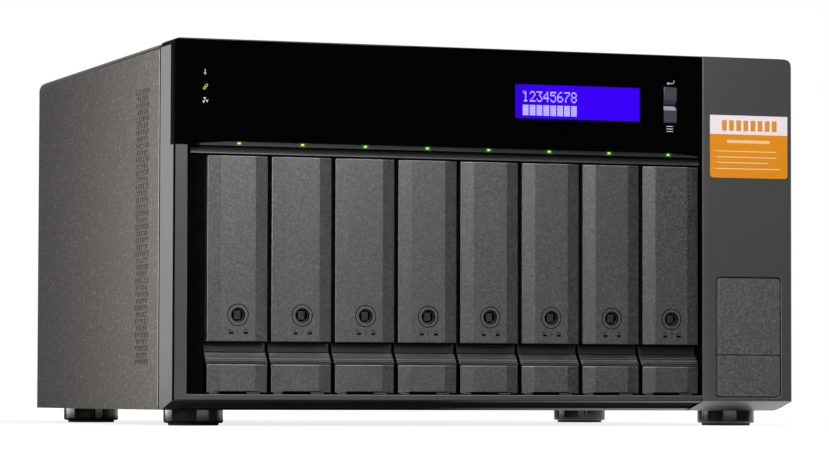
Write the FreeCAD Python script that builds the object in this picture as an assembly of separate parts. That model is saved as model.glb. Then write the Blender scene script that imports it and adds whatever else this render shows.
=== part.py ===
import FreeCAD, Part
import math
import os

from FreeCAD import Vector

# Eight-bay disk shelf enclosure, in millimetres. X runs to the right, Y to the back and Z up.
# Shapes are drawn with Y counted back from the plane of the front face. When they are written they
# move forward by half the depth, so the origin lies on the floor under the middle of the box.

# Whole object
WIDTH = 329.3
DEPTH = 279.6
HEIGHT = 188.2
SIDE = WIDTH / 2
BODY_BOTTOM = 7.7
SHEET = 1.2
GAP = 0.25

ROOF_CORNER = 5.0
REAR_FLANGE = 11.0
REAR_FLANGE_TOP = 9.0
PAN_FLANGE_FRONT = 34.0
PAN_FLANGE_TOP = 20.0
THUMB_SCREW_Z = (40.0, 160.0)
THUMB_SCREW_RADIUS = 4.2

# Front frame: a moulded ring whose bottom edge is bevelled back
BEZEL_DEPTH = 24.8
FACE_BOTTOM = 12.6
BEVEL_DEPTH = 20.0
FRAME_CORNER = 3.0
OPENING_LEFT = -157.5
OPENING_BOTTOM = 15.4
OPENING_FLOOR = 13.8
LIP_THICKNESS = 1.0
RING_THICKNESS = 3.0
CHANNEL = (5.9, 15.3)
CHANNEL_DEPTH = 0.8
TONGUE = 1.5
TONGUE_REACH = 6.0
FRAME_WALL = 2.5

# Display panel, lamp strip and trim bar above the trays
PANEL_BOTTOM = 136.4
PANEL_DEPTH = 6.0
PANEL_WALL = 2.4
STRIP_TOP = 138.4
STRIP_BOTTOM = 136.0
STRIP_FRONT = 1.0
STRIP_DEPTH = 7.6
BAR_TOP = 135.9
BAR_BOTTOM = 132.45
BAR_FRONT = 3.2
BAR_LEFT = -155.2
CEILING = 139.6
SCREEN = (12.3, 80.0, 154.0, 170.9)
BUTTON_SLOT = (93.0, 100.6, 153.6, 172.1)
BUTTON_SPLIT = 162.7
BOARD_FRONT = 9.6
MAIN_BOARD = (2.0, 108.0, 147.0, 179.0)
STATUS_BOARD = 6.4
STATUS_X = -149.0
STATUS_HEIGHTS = (171.8, 164.6, 158.0)

# Column panel at the right of the front
COLUMN_LEFT = 114.5
COLUMN_CORNER = 4.3
COVER_RECESS = (122.0, 158.3, 14.4, 75.8)
COVER_SPLIT = 36.05
COVER_CORNER = 2.2

# Drive bays
BAYS = 8
BAY_PITCH = 32.75
FIRST_BAY = -131.3
DIVIDER = 1.0
CAGE_FRONT = 25.2
CAGE_REAR = 179.4
CAGE_FLOOR = 15.4
CAGE_CEILING = 132.6

# Tray: faceted front, bulkhead, side plate and two rails that grip the drive
TRAY_HALF = 15.25
TRAY_FLAT_HALF = 8.8
TRAY_FACE = 1.8
TRAY_EDGE = 3.0
TRAY_TOP = 131.5
TRAY_BOTTOM = 16.6
FACE_WALL = 2.2
FACE_DEPTH = 14.0
BULKHEAD = 2.0
RAIL_END = 170.0
RAIL_THICKNESS = 2.4
RELEASE_TOP = 41.0

# Release lever at the foot of the tray, hinged on a cross pin near its bottom edge
LEVER_HALF = 15.65
LEVER_BOTTOM = 16.4
LEVER_FACE_TOP = 30.0
LEVER_TOP = 40.2
LEVER_INNER = 3.7
RIBS = 3
RIB_FOOT = (4.3, 31.9)
RIB_HEAD = (8.0, 36.2)
LIP_REAR = 10.6
HOOKS = ((-14.0, -9.6), (4.8, 11.6))
PIVOT_Y = 6.2
PIVOT_Z = 19.2
PIN_RADIUS = 1.0
CHEEK_RADIUS = 2.2
CHEEK_INNER = 10.0
CHEEK_OUTER = 11.8
RUNNING = 0.05

# Key lock in the tray face
LOCK_Z = 54.0
LOCK_RADIUS = 3.6
LOCK_RECESS = 1.3
LOCK_RING = 5.45
LOCK_END = 11.5

# 3.5 inch drive standing on edge
DRIVE_LENGTH = 147.0
DRIVE_HEIGHT = 101.6
DRIVE_THICKNESS = 26.1
DRIVE_FRONT = 24.5
DRIVE_BOTTOM = 23.4
DRIVE_LEFT = -12.9

# Backplane and sockets behind the bays
BOARD = 1.6
SOCKET_FRONT = 172.4

# Rear panel, fans and power supply
COVER_REAR = 276.4
REAR_PANEL = 274.0
FAN_SIZE = 119.5
FAN_DEPTH = 25.0
FAN_X = (-96.0, 26.0)
FAN_Z = 72.0
FAN_BORE = 58.0
GRILLE_RADIUS = 56.0
GRILLE_FLATS = 6.2
GRILLE_PITCH = 7.4
FAN_TIP = 56.5
ROTOR_LENGTH = 20.0
BLADES = 7
BLADE_PITCH = 38.0
STRUT_WIDTH = 5.0
STRUT_DEPTH = 2.0
FAN_SHAFT = 1.5
HUB_RADIUS = 19.5
SUPPLY = (117.8, 158.3, 123.8, 273.8, 10.2, 91.7)
SUPPLY_FAN = (138.05, 66.0)
SUPPLY_FAN_RADIUS = 17.0
SUPPLY_FAN_HALF = 19.0
SUPPLY_HUB_RADIUS = 7.0
SUPPLY_ROTOR_LENGTH = 7.0
SUPPLY_BLADES = 5
SUPPLY_SHAFT = 1.0
INLET = (138.05, 28.0)
LOCK_SLOT = (-140.0, -133.0, 150.0, 153.2)

# Interface board above the cage, with two link ports at its rear edge
INTERFACE_Z = 146.0
PORT_WIDTH = 29.0
PORT_HEIGHT = 12.0
PORT_X = (44.5, 80.5)
PORT_FRONT = 246.0
PORT_REAR = 276.4
POST_X = (-20.0, 40.0, 100.0)
POST_Y = (156.0, 174.0)

# Vent band on each side of the cover: staggered hexagons
VENT_FRONT = 47.2
VENT_BOTTOM = 31.2
VENT_ROWS = 41
VENT_ROW_PITCH = 3.37
VENT_PITCH = 4.3
VENT_FLATS = 2.9
VENT_IN_ROW = 6

# Feet
FOOT_X = 143.7
FOOT_Y = (36.3, 238.0)
FOOT_RADIUS = 14.75
PAD_RADIUS = 12.5
PAD_SHOWN = 1.2
PAD_SEAT = 1.0


# Shape helpers

def block(x0, x1, y0, y1, z0, z1):
    return Part.makeBox(x1 - x0, y1 - y0, z1 - z0, Vector(x0, y0, z0))


def place(axis, across, up, along):
    """A point from its two coordinates in the plane square to an axis, and its place on that axis."""
    if axis == "x":
        return Vector(along, across, up)
    if axis == "y":
        return Vector(across, along, up)
    return Vector(across, up, along)


def loop(axis, points, along):
    corners = [place(axis, a, b, along) for a, b in points]
    return Part.makePolygon(corners + corners[:1])


def direction(axis, length):
    return {"x": Vector(length, 0, 0), "y": Vector(0, length, 0), "z": Vector(0, 0, length)}[axis]


def prism(axis, points, start, end):
    return Part.Face(loop(axis, points, start)).extrude(direction(axis, end - start))


def pierced_plate(axis, outline, holes, start, end):
    """A flat plate with polygon holes, drawn square to an axis."""
    wires = [loop(axis, outline, start)] + [loop(axis, hole, start) for hole in holes]
    face = Part.makeFace(Part.Compound(wires), "Part::FaceMakerBullseye")
    return face.extrude(direction(axis, end - start))


def rod(axis, a, b, radius, start, end):
    return Part.makeCylinder(radius, end - start, place(axis, a, b, start), direction(axis, 1))


def oblong(x0, x1, z0, z1):
    return [(x0, z0), (x1, z0), (x1, z1), (x0, z1)]


def rounded(x0, x1, z0, z1, radii, steps=5):
    """Corner points of a rectangle with rounded corners, radii given from lower left anticlockwise."""
    centres = ((x0, z0, 1, 1, 180), (x1, z0, -1, 1, 270), (x1, z1, -1, -1, 0), (x0, z1, 1, -1, 90))
    points = []
    for (x, z, across, up, first), radius in zip(centres, radii):
        if radius == 0:
            points.append((x, z))
            continue
        for step in range(steps + 1):
            angle = math.radians(first + 90 * step / steps)
            points.append((x + across * radius + radius * math.cos(angle),
                           z + up * radius + radius * math.sin(angle)))
    return points


def hexagon(a, b, flats):
    radius = flats / math.sqrt(3)
    angles = [math.radians(30 + 60 * k) for k in range(6)]
    return [(a + radius * math.cos(t), b + radius * math.sin(t)) for t in angles]


def hexagon_disc(x, z, radius, flats, pitch):
    """Hexagonal holes on a triangular grid that fills a circle."""
    holes = []
    row_pitch = pitch * math.sqrt(3) / 2
    rows = int(radius / row_pitch)
    for row in range(-rows, rows + 1):
        shift = pitch / 2 if row % 2 else 0
        count = int(radius / pitch) + 1
        for column in range(-count, count + 1):
            a = column * pitch + shift
            b = row * row_pitch
            if math.hypot(a, b) + flats / 2 < radius:
                holes.append(hexagon(x + a, z + b, flats))
    return holes


def fused(shapes):
    return shapes[0].multiFuse(shapes[1:]).removeSplitter()


def write(name, *shapes):
    """Writes one node, moved so that the origin lies under the middle of the box."""
    shape = shapes[0] if len(shapes) == 1 else Part.makeCompound(list(shapes))
    moved = shape.copy()
    moved.translate(Vector(0, -DEPTH / 2, 0))
    moved.exportStep("parts/" + name + ".step")


def bevel_z(y):
    """Height of the bevelled underside at a distance behind the front face."""
    return FACE_BOTTOM - (FACE_BOTTOM - BODY_BOTTOM) * min(y / BEVEL_DEPTH, 1)


# Casing

def outer_cover():
    """Folded sheet: top, two sides with their vent bands, and a flange turned in at the rear."""
    start = BEZEL_DEPTH + 0.5
    radius = ROOF_CORNER
    knee = HEIGHT - radius
    arch = rounded(-SIDE, SIDE, knee, HEIGHT, (0, 0, radius, radius), 8)
    hollow = rounded(-SIDE + SHEET, SIDE - SHEET, knee - 1, HEIGHT - SHEET,
                     (0, 0, radius - SHEET, radius - SHEET), 8)
    top = prism("y", arch, start, COVER_REAR).cut(prism("y", hollow, start - 1, COVER_REAR + 1))
    holes = []
    for row in range(VENT_ROWS):
        z = VENT_BOTTOM + row * VENT_ROW_PITCH
        short = row % 2
        for k in range(VENT_IN_ROW - short):
            holes.append(hexagon(VENT_FRONT + (k + short / 2) * VENT_PITCH, z, VENT_FLATS))
    outline = oblong(start, COVER_REAR, BODY_BOTTOM, knee)
    left = pierced_plate("x", outline, holes, -SIDE, -SIDE + SHEET)
    right = pierced_plate("x", outline, holes, SIDE - SHEET, SIDE)
    rim = prism("y", rounded(-SIDE, SIDE, BODY_BOTTOM, HEIGHT, (0, 0, radius, radius), 8),
                COVER_REAR - SHEET, COVER_REAR)
    rim = rim.cut(block(-SIDE + REAR_FLANGE, SIDE - REAR_FLANGE, 0, DEPTH, 0, HEIGHT - REAR_FLANGE_TOP))
    return fused([top, left, right, rim])


def base_pan():
    """Bottom sheet with a flange turned up along each side."""
    edge = SIDE - SHEET - GAP
    floor = block(-edge, edge, BEZEL_DEPTH + 0.4, REAR_PANEL - 0.2, BODY_BOTTOM, BODY_BOTTOM + SHEET)
    flanges = []
    for x0 in (-edge, edge - SHEET):
        flanges.append(block(x0, x0 + SHEET, PAN_FLANGE_FRONT, REAR_PANEL - 0.2, BODY_BOTTOM,
                             PAN_FLANGE_TOP))
    return fused([floor] + flanges)


def port_window(x):
    return oblong(x - PORT_WIDTH / 2 - GAP, x + PORT_WIDTH / 2 + GAP,
                  INTERFACE_Z + BOARD - GAP, INTERFACE_Z + BOARD + PORT_HEIGHT + GAP)


def rear_panel():
    """Rear sheet: two fan grilles, windows for the supply and the link ports, and a lock slot."""
    edge = SIDE - SHEET - GAP
    outline = rounded(-edge, edge, BODY_BOTTOM + 0.2, HEIGHT - SHEET - GAP, (0, 0, 3.8, 3.8), 4)
    holes = []
    for x in FAN_X:
        holes += hexagon_disc(x, FAN_Z, GRILLE_RADIUS, GRILLE_FLATS, GRILLE_PITCH)
    x0, x1, _, _, z0, z1 = SUPPLY
    holes.append(oblong(x0 + 2.2, x1 - 2.2, z0 + 2.2, z1 - 2.2))
    holes += [port_window(x) for x in PORT_X]
    holes.append(rounded(*LOCK_SLOT, (1, 1, 1, 1), 3))
    return pierced_plate("y", outline, holes, REAR_PANEL, REAR_PANEL + SHEET)


def feet():
    """Glossy moulded feet with a chamfered lower edge and a seat for the pad."""
    shapes = []
    for x, y in foot_places():
        foot = rod("z", x, y, FOOT_RADIUS, PAD_SHOWN, BODY_BOTTOM)
        lower = [edge for edge in foot.Edges if abs(edge.BoundBox.ZMax - PAD_SHOWN) < 0.01]
        foot = foot.makeChamfer(1.0, lower[:1])
        shapes.append(foot.cut(rod("z", x, y, PAD_RADIUS, 0, PAD_SHOWN + PAD_SEAT)))
    return shapes


def foot_places():
    return [(x, y) for x in (-FOOT_X, FOOT_X) for y in FOOT_Y]


def foot_pads():
    return [rod("z", x, y, PAD_RADIUS, 0, PAD_SHOWN + PAD_SEAT) for x, y in foot_places()]


def fasteners():
    """Thumb screw heads on the rear flange, and the posts under the interface board."""
    shapes = []
    for x in (-SIDE + 6, SIDE - 6):
        for z in THUMB_SCREW_Z:
            shapes.append(rod("y", x, z, THUMB_SCREW_RADIUS, COVER_REAR, DEPTH))
    for x in POST_X:
        for y in POST_Y:
            post = prism("z", hexagon(x, y, 6), CAGE_CEILING + SHEET, INTERFACE_Z)
            shapes.append(post)
    return shapes


# Front mouldings

def front_frame():
    """Ring round the tray opening: left jamb, bevelled bottom bar, hollow head and rear ring."""
    jamb_profile = [(0, FACE_BOTTOM), (BEVEL_DEPTH, BODY_BOTTOM), (BEZEL_DEPTH, BODY_BOTTOM),
                    (BEZEL_DEPTH, HEIGHT), (PANEL_DEPTH + 0.2, HEIGHT),
                    (PANEL_DEPTH + 0.2, PANEL_BOTTOM - 0.2), (0, PANEL_BOTTOM - 0.2)]
    jamb = prism("x", jamb_profile, -SIDE, OPENING_LEFT)
    pocket = block(-SIDE + FRAME_WALL, OPENING_LEFT - 2.0, 3, BEZEL_DEPTH - RING_THICKNESS, 18, 180)
    jamb = jamb.cut(pocket)
    near, far = CHANNEL
    bar_profile = [(0, FACE_BOTTOM), (0, OPENING_BOTTOM), (LIP_THICKNESS, OPENING_BOTTOM),
                   (LIP_THICKNESS, OPENING_FLOOR), (BEZEL_DEPTH, OPENING_FLOOR),
                   (BEZEL_DEPTH, BODY_BOTTOM), (BEVEL_DEPTH, BODY_BOTTOM),
                   (far, bevel_z(far)), (far, bevel_z(far) + CHANNEL_DEPTH),
                   (near, bevel_z(near) + CHANNEL_DEPTH), (near, bevel_z(near))]
    bar = prism("x", bar_profile, OPENING_LEFT, COLUMN_LEFT - 0.15)
    head_front = PANEL_DEPTH + 0.2
    right = COLUMN_LEFT - 0.15
    ceiling = block(OPENING_LEFT, right, 10.8, BEZEL_DEPTH, CEILING, CEILING + 2)
    roof = block(OPENING_LEFT, right, head_front, BEZEL_DEPTH, HEIGHT - FRAME_WALL, HEIGHT)
    ring_outline = oblong(OPENING_LEFT, SIDE - FRAME_WALL - 0.15,
                          BODY_BOTTOM + 4, HEIGHT - FRAME_WALL - 0.2)
    ring_holes = [oblong(OPENING_LEFT + 0.01, COLUMN_LEFT, OPENING_FLOOR, CEILING),
                  oblong(OPENING_LEFT + 8, COLUMN_LEFT - 8, CEILING + 10, HEIGHT - 10),
                  oblong(COLUMN_LEFT + 8, SIDE - 10, 20, HEIGHT - 12)]
    ring = pierced_plate("y", ring_outline, ring_holes, BEZEL_DEPTH - RING_THICKNESS, BEZEL_DEPTH)
    inside = SIDE - SHEET - GAP
    under_roof = HEIGHT - SHEET - GAP
    tongue_end = BEZEL_DEPTH + TONGUE_REACH
    tongues = [block(-inside, -inside + TONGUE, BEZEL_DEPTH - 1, tongue_end, 24, 176),
               block(-150, COLUMN_LEFT - 4, BEZEL_DEPTH - 1, tongue_end, under_roof - TONGUE, under_roof)]
    frame = fused([jamb, bar, ceiling, roof, ring] + tongues)
    keep = prism("y", rounded(-SIDE, SIDE + 10, 0, HEIGHT, (0, 0, 0, FRAME_CORNER)), -1, tongue_end + 1)
    return frame.common(keep)


def column_panel():
    """Hollow moulding at the right of the front, with its own bevelled bottom and corners."""
    outline = rounded(COLUMN_LEFT, SIDE, BODY_BOTTOM, HEIGHT, (0, 1.8, COLUMN_CORNER, 0))
    shell = prism("y", outline, 0, BEZEL_DEPTH)
    inner = rounded(COLUMN_LEFT + FRAME_WALL, SIDE - FRAME_WALL, FACE_BOTTOM + 2.2, HEIGHT - FRAME_WALL,
                    (0, 0, 2, 0))
    shell = shell.cut(prism("y", inner, FRAME_WALL + 2.1, BEZEL_DEPTH + 1))
    under = [(-1, 0), (-1, FACE_BOTTOM), (0, FACE_BOTTOM), (BEVEL_DEPTH, BODY_BOTTOM), (BEVEL_DEPTH, 0)]
    shell = shell.cut(prism("x", under, COLUMN_LEFT - 1, SIDE + 1))
    edge = 0.5
    left_chamfer = prism("z", [(COLUMN_LEFT - 1, -1), (COLUMN_LEFT + edge * 3 + 1, -1),
                               (COLUMN_LEFT, edge), (COLUMN_LEFT - 1, edge)], 0, HEIGHT + 1)
    right_chamfer = prism("z", [(SIDE - edge * 2, 0), (SIDE - edge * 2, -1), (SIDE + 1, -1),
                                (SIDE + 1, edge * 2), (SIDE, edge * 2)], 0, HEIGHT + 1)
    x0, x1, z0, z1 = COVER_RECESS
    recess = prism("y", rounded(x0, x1, z0, z1, [COVER_CORNER] * 4), -1, 2.1)
    ring_room = block(COLUMN_LEFT - 1, SIDE - FRAME_WALL - 0.1, BEZEL_DEPTH - RING_THICKNESS - 0.1,
                      BEZEL_DEPTH + 1, BODY_BOTTOM + 3.9, HEIGHT - FRAME_WALL)
    for tool in (left_chamfer, right_chamfer, recess, ring_room):
        shell = shell.cut(tool)
    return shell


def column_covers():
    """Two blank covers that fill the recess low on the column."""
    x0, x1, z0, z1 = COVER_RECESS
    rim = 0.5
    full = prism("y", rounded(x0 + rim, x1 - rim, z0 + rim, z1 - rim, [COVER_CORNER - rim] * 4), 0.2, 2.1)
    slope = prism("z", [(x0 - 1, -1), (x0 + rim + 1.4, -1), (x0 + rim + 1.4, 0.2), (x0 + rim, 0.9),
                        (x0 - 1, 0.9)], 0, HEIGHT)
    full = full.cut(slope)
    lower = full.common(block(x0, x1, -1, 5, 0, COVER_SPLIT - 0.2))
    upper = full.common(block(x0, x1, -1, 5, COVER_SPLIT + 0.2, HEIGHT))
    return [upper, lower]


def display_panel():
    """Glossy panel: thin front with a rim, a screen window, a button slot and a step for the strip."""
    right = COLUMN_LEFT - 0.15
    outline = rounded(-SIDE, right, PANEL_BOTTOM, HEIGHT, (0, 0, 0, FRAME_CORNER))
    panel = prism("y", outline, 0, PANEL_DEPTH)
    panel = panel.cut(block(-SIDE + 2, right - 2, PANEL_WALL, PANEL_DEPTH + 1, STRIP_TOP + 2, HEIGHT - 2))
    panel = panel.cut(block(BAR_LEFT, right + 1, -1, PANEL_DEPTH + 1, 0, STRIP_TOP))
    for x0, x1, z0, z1 in (SCREEN, BUTTON_SLOT):
        panel = panel.cut(block(x0, x1, -1, PANEL_WALL + 1, z0, z1))
    return panel


def lcd_module():
    """Character display: the screen fills the panel's window, and its body sits behind the panel."""
    x0, x1, z0, z1 = SCREEN
    behind = PANEL_WALL + 0.2
    screen = block(x0 + 0.2, x1 - 0.2, 0.5, behind, z0 + 0.2, z1 - 0.2)
    body = block(x0 - 6, x1 + 6, behind, BOARD_FRONT, z0 - 5, z1 + 5)
    return fused([screen, body])


def display_board():
    """Boards behind the panel: one for display and buttons, one for bay lamps, one for status lamps."""
    ring_front = BEZEL_DEPTH - RING_THICKNESS
    x0, x1, z0, z1 = MAIN_BOARD
    main = [block(x0, x1, BOARD_FRONT, BOARD_FRONT + BOARD, z0, z1)]
    for x in (x0, x1 - 4):
        main.append(block(x, x + 4, BOARD_FRONT + BOARD, ring_front, z1 - 4, z1))
    middle = (BUTTON_SLOT[0] + BUTTON_SLOT[1]) / 2
    for z in (BUTTON_SPLIT + 5, BUTTON_SPLIT - 5):
        main.append(block(middle - 2, middle + 2, BOARD_FRONT - 0.7, BOARD_FRONT, z - 2, z + 2))
    bay = block(BAR_LEFT + 5.2, COLUMN_LEFT - 3.5, 9.0, 9.0 + BOARD, STRIP_BOTTOM + 0.2, CEILING - 0.1)
    status = [block(STATUS_X - 4, STATUS_X + 4, STATUS_BOARD, STATUS_BOARD + BOARD, 154, 176),
              block(STATUS_X - 2, STATUS_X + 2, STATUS_BOARD, STATUS_BOARD + BOARD, 150, 154),
              block(STATUS_X - 2, STATUS_X + 2, STATUS_BOARD + BOARD, ring_front, 150, 153)]
    return [fused(main), bay, fused(status)]


def bay_trim_bar():
    """Bar along the top of the tray opening, with a rounded lower edge."""
    rear = BEZEL_DEPTH - RING_THICKNESS - 1
    profile = [(BAR_FRONT + 1.6, BAR_BOTTOM), (BAR_FRONT + 0.6, BAR_BOTTOM + 0.35),
               (BAR_FRONT, BAR_BOTTOM + 1.4), (BAR_FRONT, BAR_TOP), (rear, BAR_TOP), (rear, BAR_BOTTOM)]
    bar = prism("x", profile, BAR_LEFT, COLUMN_LEFT - 0.4)
    ties = []
    for x in (BAR_LEFT + 4, -20, COLUMN_LEFT - 10):
        ties.append(block(x, x + 6, 12, rear, BAR_TOP - 0.5, CEILING))
    return fused([bar] + ties)


def bay_centre(bay):
    return FIRST_BAY + BAY_PITCH * bay


def lamp_strip():
    """Translucent strip under the panel, pierced for the bay lamps."""
    strip = block(BAR_LEFT + 0.2, COLUMN_LEFT - 0.4, STRIP_FRONT, STRIP_FRONT + STRIP_DEPTH,
                  STRIP_BOTTOM, STRIP_TOP - 0.1)
    for bay in range(BAYS):
        x = bay_centre(bay)
        strip = strip.cut(block(x - 1.1, x + 1.1, 0, 12, 136.8, 138.0))
    return strip


def lamp_guides():
    shapes = []
    for bay in range(BAYS):
        x = bay_centre(bay)
        shapes.append(block(x - 1.05, x + 1.05, STRIP_FRONT - 0.1, 9.0, 136.85, 137.95))
    for z in STATUS_HEIGHTS:
        shapes.append(block(STATUS_X - 1.8, STATUS_X + 1.8, PANEL_WALL + 0.1, STATUS_BOARD,
                            z - 1.8, z + 1.8))
    return shapes


def push_button(upper):
    """One of two keys that share a slot: the faces slope in to a valley where the keys meet."""
    x0 = BUTTON_SLOT[0] + 0.2
    x1 = BUTTON_SLOT[1] - 0.2
    face = 0.3
    valley = 1.7
    side = 1 if upper else -1
    near = BUTTON_SPLIT + side * 0.25
    far = BUTTON_SLOT[3] - 0.2 if upper else BUTTON_SLOT[2] + 0.2
    profile = [(face, far), (face, near + side * 2.5), (valley, near), (5.0, near), (5.0, far)]
    if not upper:
        profile.reverse()
    key = prism("x", profile, x0, x1)
    stem = block(95.8, 97.8, 4.5, 7.6, near + side * 4 - 1.5, near + side * 4 + 1.5)
    return fused([key, stem])


# Trays, levers, locks and drives. Each is drawn about X = 0 and moved to its bay.

def facets(back, inset=0.0):
    """Plan of the faceted front: a flat middle with a narrow facet turned back on each side."""
    half = TRAY_HALF - inset
    return [(-half, TRAY_EDGE), (-TRAY_FLAT_HALF, TRAY_FACE), (TRAY_FLAT_HALF, TRAY_FACE),
            (half, TRAY_EDGE), (half, back), (-half, back)]


def tray_bezel():
    """Hollow faceted front with the lock's boss behind it and a fine ring round the lock."""
    front = prism("z", facets(FACE_DEPTH), RELEASE_TOP, TRAY_TOP)
    inner = TRAY_HALF - 1.6
    hollow = prism("z", [(-inner, TRAY_EDGE + FACE_WALL), (-TRAY_FLAT_HALF, TRAY_FACE + FACE_WALL),
                         (TRAY_FLAT_HALF, TRAY_FACE + FACE_WALL), (inner, TRAY_EDGE + FACE_WALL),
                         (inner, FACE_DEPTH + 1), (-inner, FACE_DEPTH + 1)], RELEASE_TOP + 2, TRAY_TOP - 2)
    boss = rod("y", 0, LOCK_Z, LOCK_RING, TRAY_FACE + FACE_WALL - 0.5, LOCK_END - 1.5)
    body = fused([front.cut(hollow), boss])
    body = body.cut(rod("y", 0, LOCK_Z, LOCK_RADIUS + RUNNING, 0, LOCK_END + 1))
    ring = rod("y", 0, LOCK_Z, LOCK_RING, 0, TRAY_FACE + 0.5)
    return body.cut(ring.cut(rod("y", 0, LOCK_Z, LOCK_RING - 0.4, -1, 10)))


def tray_carrier():
    """Bulkhead, windowed side plate, and two rails with skids that run on the cage's sheets."""
    windows = [oblong(-9, 9, z, z + 24) for z in (64, 94)]
    windows.append(oblong(-6, 6, LOCK_Z - 6, LOCK_Z + 6))
    start = FACE_DEPTH + BULKHEAD
    bulkhead = pierced_plate("y", oblong(-TRAY_HALF, TRAY_HALF, TRAY_BOTTOM, TRAY_TOP), windows,
                             FACE_DEPTH, start)
    drive_top = DRIVE_BOTTOM + DRIVE_HEIGHT
    plate_x = DRIVE_LEFT - 1.5
    side_windows = [oblong(y, y + 36, DRIVE_BOTTOM + 12, drive_top - 12) for y in (30, 74, 118)]
    plate = pierced_plate("x", oblong(start, RAIL_END, DRIVE_BOTTOM - 3, drive_top + 3), side_windows,
                          plate_x, plate_x + 1.3)
    right = DRIVE_LEFT + DRIVE_THICKNESS + 0.2
    parts = [bulkhead, plate]
    for low, high, foot in ((DRIVE_BOTTOM - 0.2 - RAIL_THICKNESS, DRIVE_BOTTOM - 0.2, CAGE_FLOOR + 0.2),
                            (drive_top + 0.2, drive_top + 0.2 + RAIL_THICKNESS, CAGE_CEILING - 0.3)):
        parts.append(block(plate_x, right, start, RAIL_END, low, high))
        for x in (plate_x, right - 2):
            parts.append(block(x, x + 2, start, RAIL_END, min(low, foot), max(high, foot)))
    return fused(parts)


def hinge_cheek(x):
    """Lug on the bulkhead that carries one end of the lever's pin."""
    width = CHEEK_OUTER - CHEEK_INNER
    arm = block(x, x + width, PIVOT_Y, FACE_DEPTH, PIVOT_Z - CHEEK_RADIUS, PIVOT_Z + CHEEK_RADIUS)
    nose = rod("x", PIVOT_Y, PIVOT_Z, CHEEK_RADIUS, x, x + width)
    return fused([arm, nose]).cut(rod("x", PIVOT_Y, PIVOT_Z, PIN_RADIUS + RUNNING, x - 1, x + width + 1))


def tray():
    """Moulded carrier in four pieces: bezel, drive carrier and the two hinge cheeks."""
    return [tray_bezel(), tray_carrier(), hinge_cheek(-CHEEK_OUTER), hinge_cheek(CHEEK_INNER)]


def lever():
    """Release lever: lower face, finger recess behind a ribbed lip, lugs, hinge pin and short hooks."""
    face = prism("z", facets(LEVER_INNER), LEVER_BOTTOM, LEVER_FACE_TOP)
    chamfer = prism("x", [(0, LEVER_BOTTOM - 1), (TRAY_FACE + 1.2, LEVER_BOTTOM - 1),
                          (TRAY_FACE + 0.9, LEVER_BOTTOM), (TRAY_FACE, LEVER_BOTTOM + 0.6),
                          (0, LEVER_BOTTOM + 0.6)], -20, 20)
    face = face.cut(chamfer)
    lip_foot = (2.9, LEVER_FACE_TOP + 0.5)
    slope = [lip_foot, RIB_FOOT]
    for rib in range(RIBS):
        share = (rib + 0.55) / RIBS
        y = RIB_FOOT[0] + (RIB_HEAD[0] - RIB_FOOT[0]) * share
        z = RIB_FOOT[1] + (RIB_HEAD[1] - RIB_FOOT[1]) * share
        slope.append((y - 0.45, z + 0.1))
        slope.append((y + 0.25, z + 0.35))
    slope += [RIB_HEAD, (8.3, LEVER_TOP), (LIP_REAR, LEVER_TOP), (LIP_REAR, 35.4), (6.4, lip_foot[1])]
    lip = prism("x", slope, -LEVER_HALF, LEVER_HALF)
    web = block(-TRAY_HALF + 0.3, TRAY_HALF - 0.3, 3.3, 5.6, LEVER_FACE_TOP - 2, LEVER_FACE_TOP + 1.5)
    lug_profile = [(LEVER_INNER - 0.3, 17.2), (8.4, 17.2), (8.4, 24), (6.6, LEVER_FACE_TOP + 1),
                   (LEVER_INNER - 0.3, LEVER_FACE_TOP + 1)]
    lugs = [prism("x", lug_profile, x, x + 1.8) for x in (-14.2, 12.4)]
    pin = rod("x", PIVOT_Y, PIVOT_Z, PIN_RADIUS, -13, 13)
    hooks = [block(x0, x1, 2.8, LEVER_INNER, LEVER_BOTTOM - 0.7, LEVER_BOTTOM + 1) for x0, x1 in HOOKS]
    return fused([face, lip, web] + lugs + [pin] + hooks)


def key_lock():
    """Lock core with a square key post in a round well, and a cam arm at its rear."""
    front = TRAY_FACE + LOCK_RECESS
    core = rod("y", 0, LOCK_Z, LOCK_RADIUS, front, LOCK_END)
    well = rod("y", 0, LOCK_Z, LOCK_RADIUS - 0.7, front - 1, front + 1.2)
    post = block(-1.7, 1.7, front + 0.3, front + 1.4, LOCK_Z - 2.1, LOCK_Z + 2.1)
    arm = block(-2, 2, LOCK_END - 0.2, LOCK_END + 1.4, LOCK_Z - 2.5, LOCK_Z + 5.5)
    return fused([core.cut(well), post, arm])


def drive():
    """3.5 inch drive on edge: cast body, raised top cover and a recessed board side with its plug."""
    right = DRIVE_LEFT + DRIVE_THICKNESS
    end = DRIVE_FRONT + DRIVE_LENGTH
    top = DRIVE_BOTTOM + DRIVE_HEIGHT
    body = block(DRIVE_LEFT, right - 1.2, DRIVE_FRONT, end, DRIVE_BOTTOM, top)
    outline = rounded(DRIVE_FRONT + 2, end - 3, DRIVE_BOTTOM + 1.5, top - 1.5, [5] * 4)
    lid = prism("x", outline, right - 1.2, right)
    recess = block(DRIVE_LEFT - 1, DRIVE_LEFT + 2.6, DRIVE_FRONT + 40, end - 4, DRIVE_BOTTOM + 5, top - 5)
    circuit = block(DRIVE_LEFT + 1.0, DRIVE_LEFT + 2.6, DRIVE_FRONT + 44, end - 8,
                    DRIVE_BOTTOM + 9, top - 9)
    notch = block(DRIVE_LEFT - 1, DRIVE_LEFT + 7, end - 5, end + 1, DRIVE_BOTTOM + 8, DRIVE_BOTTOM + 52)
    plug = block(DRIVE_LEFT + 1.5, DRIVE_LEFT + 5.5, end - 5, end - 1, DRIVE_BOTTOM + 10, DRIVE_BOTTOM + 50)
    return fused([body, lid]).cut(recess).cut(notch).fuse(circuit).fuse(plug).removeSplitter()


def at_bay(shape, bay):
    moved = shape.copy()
    moved.translate(Vector(bay_centre(bay), 0, 0))
    return moved


# Inside

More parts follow.
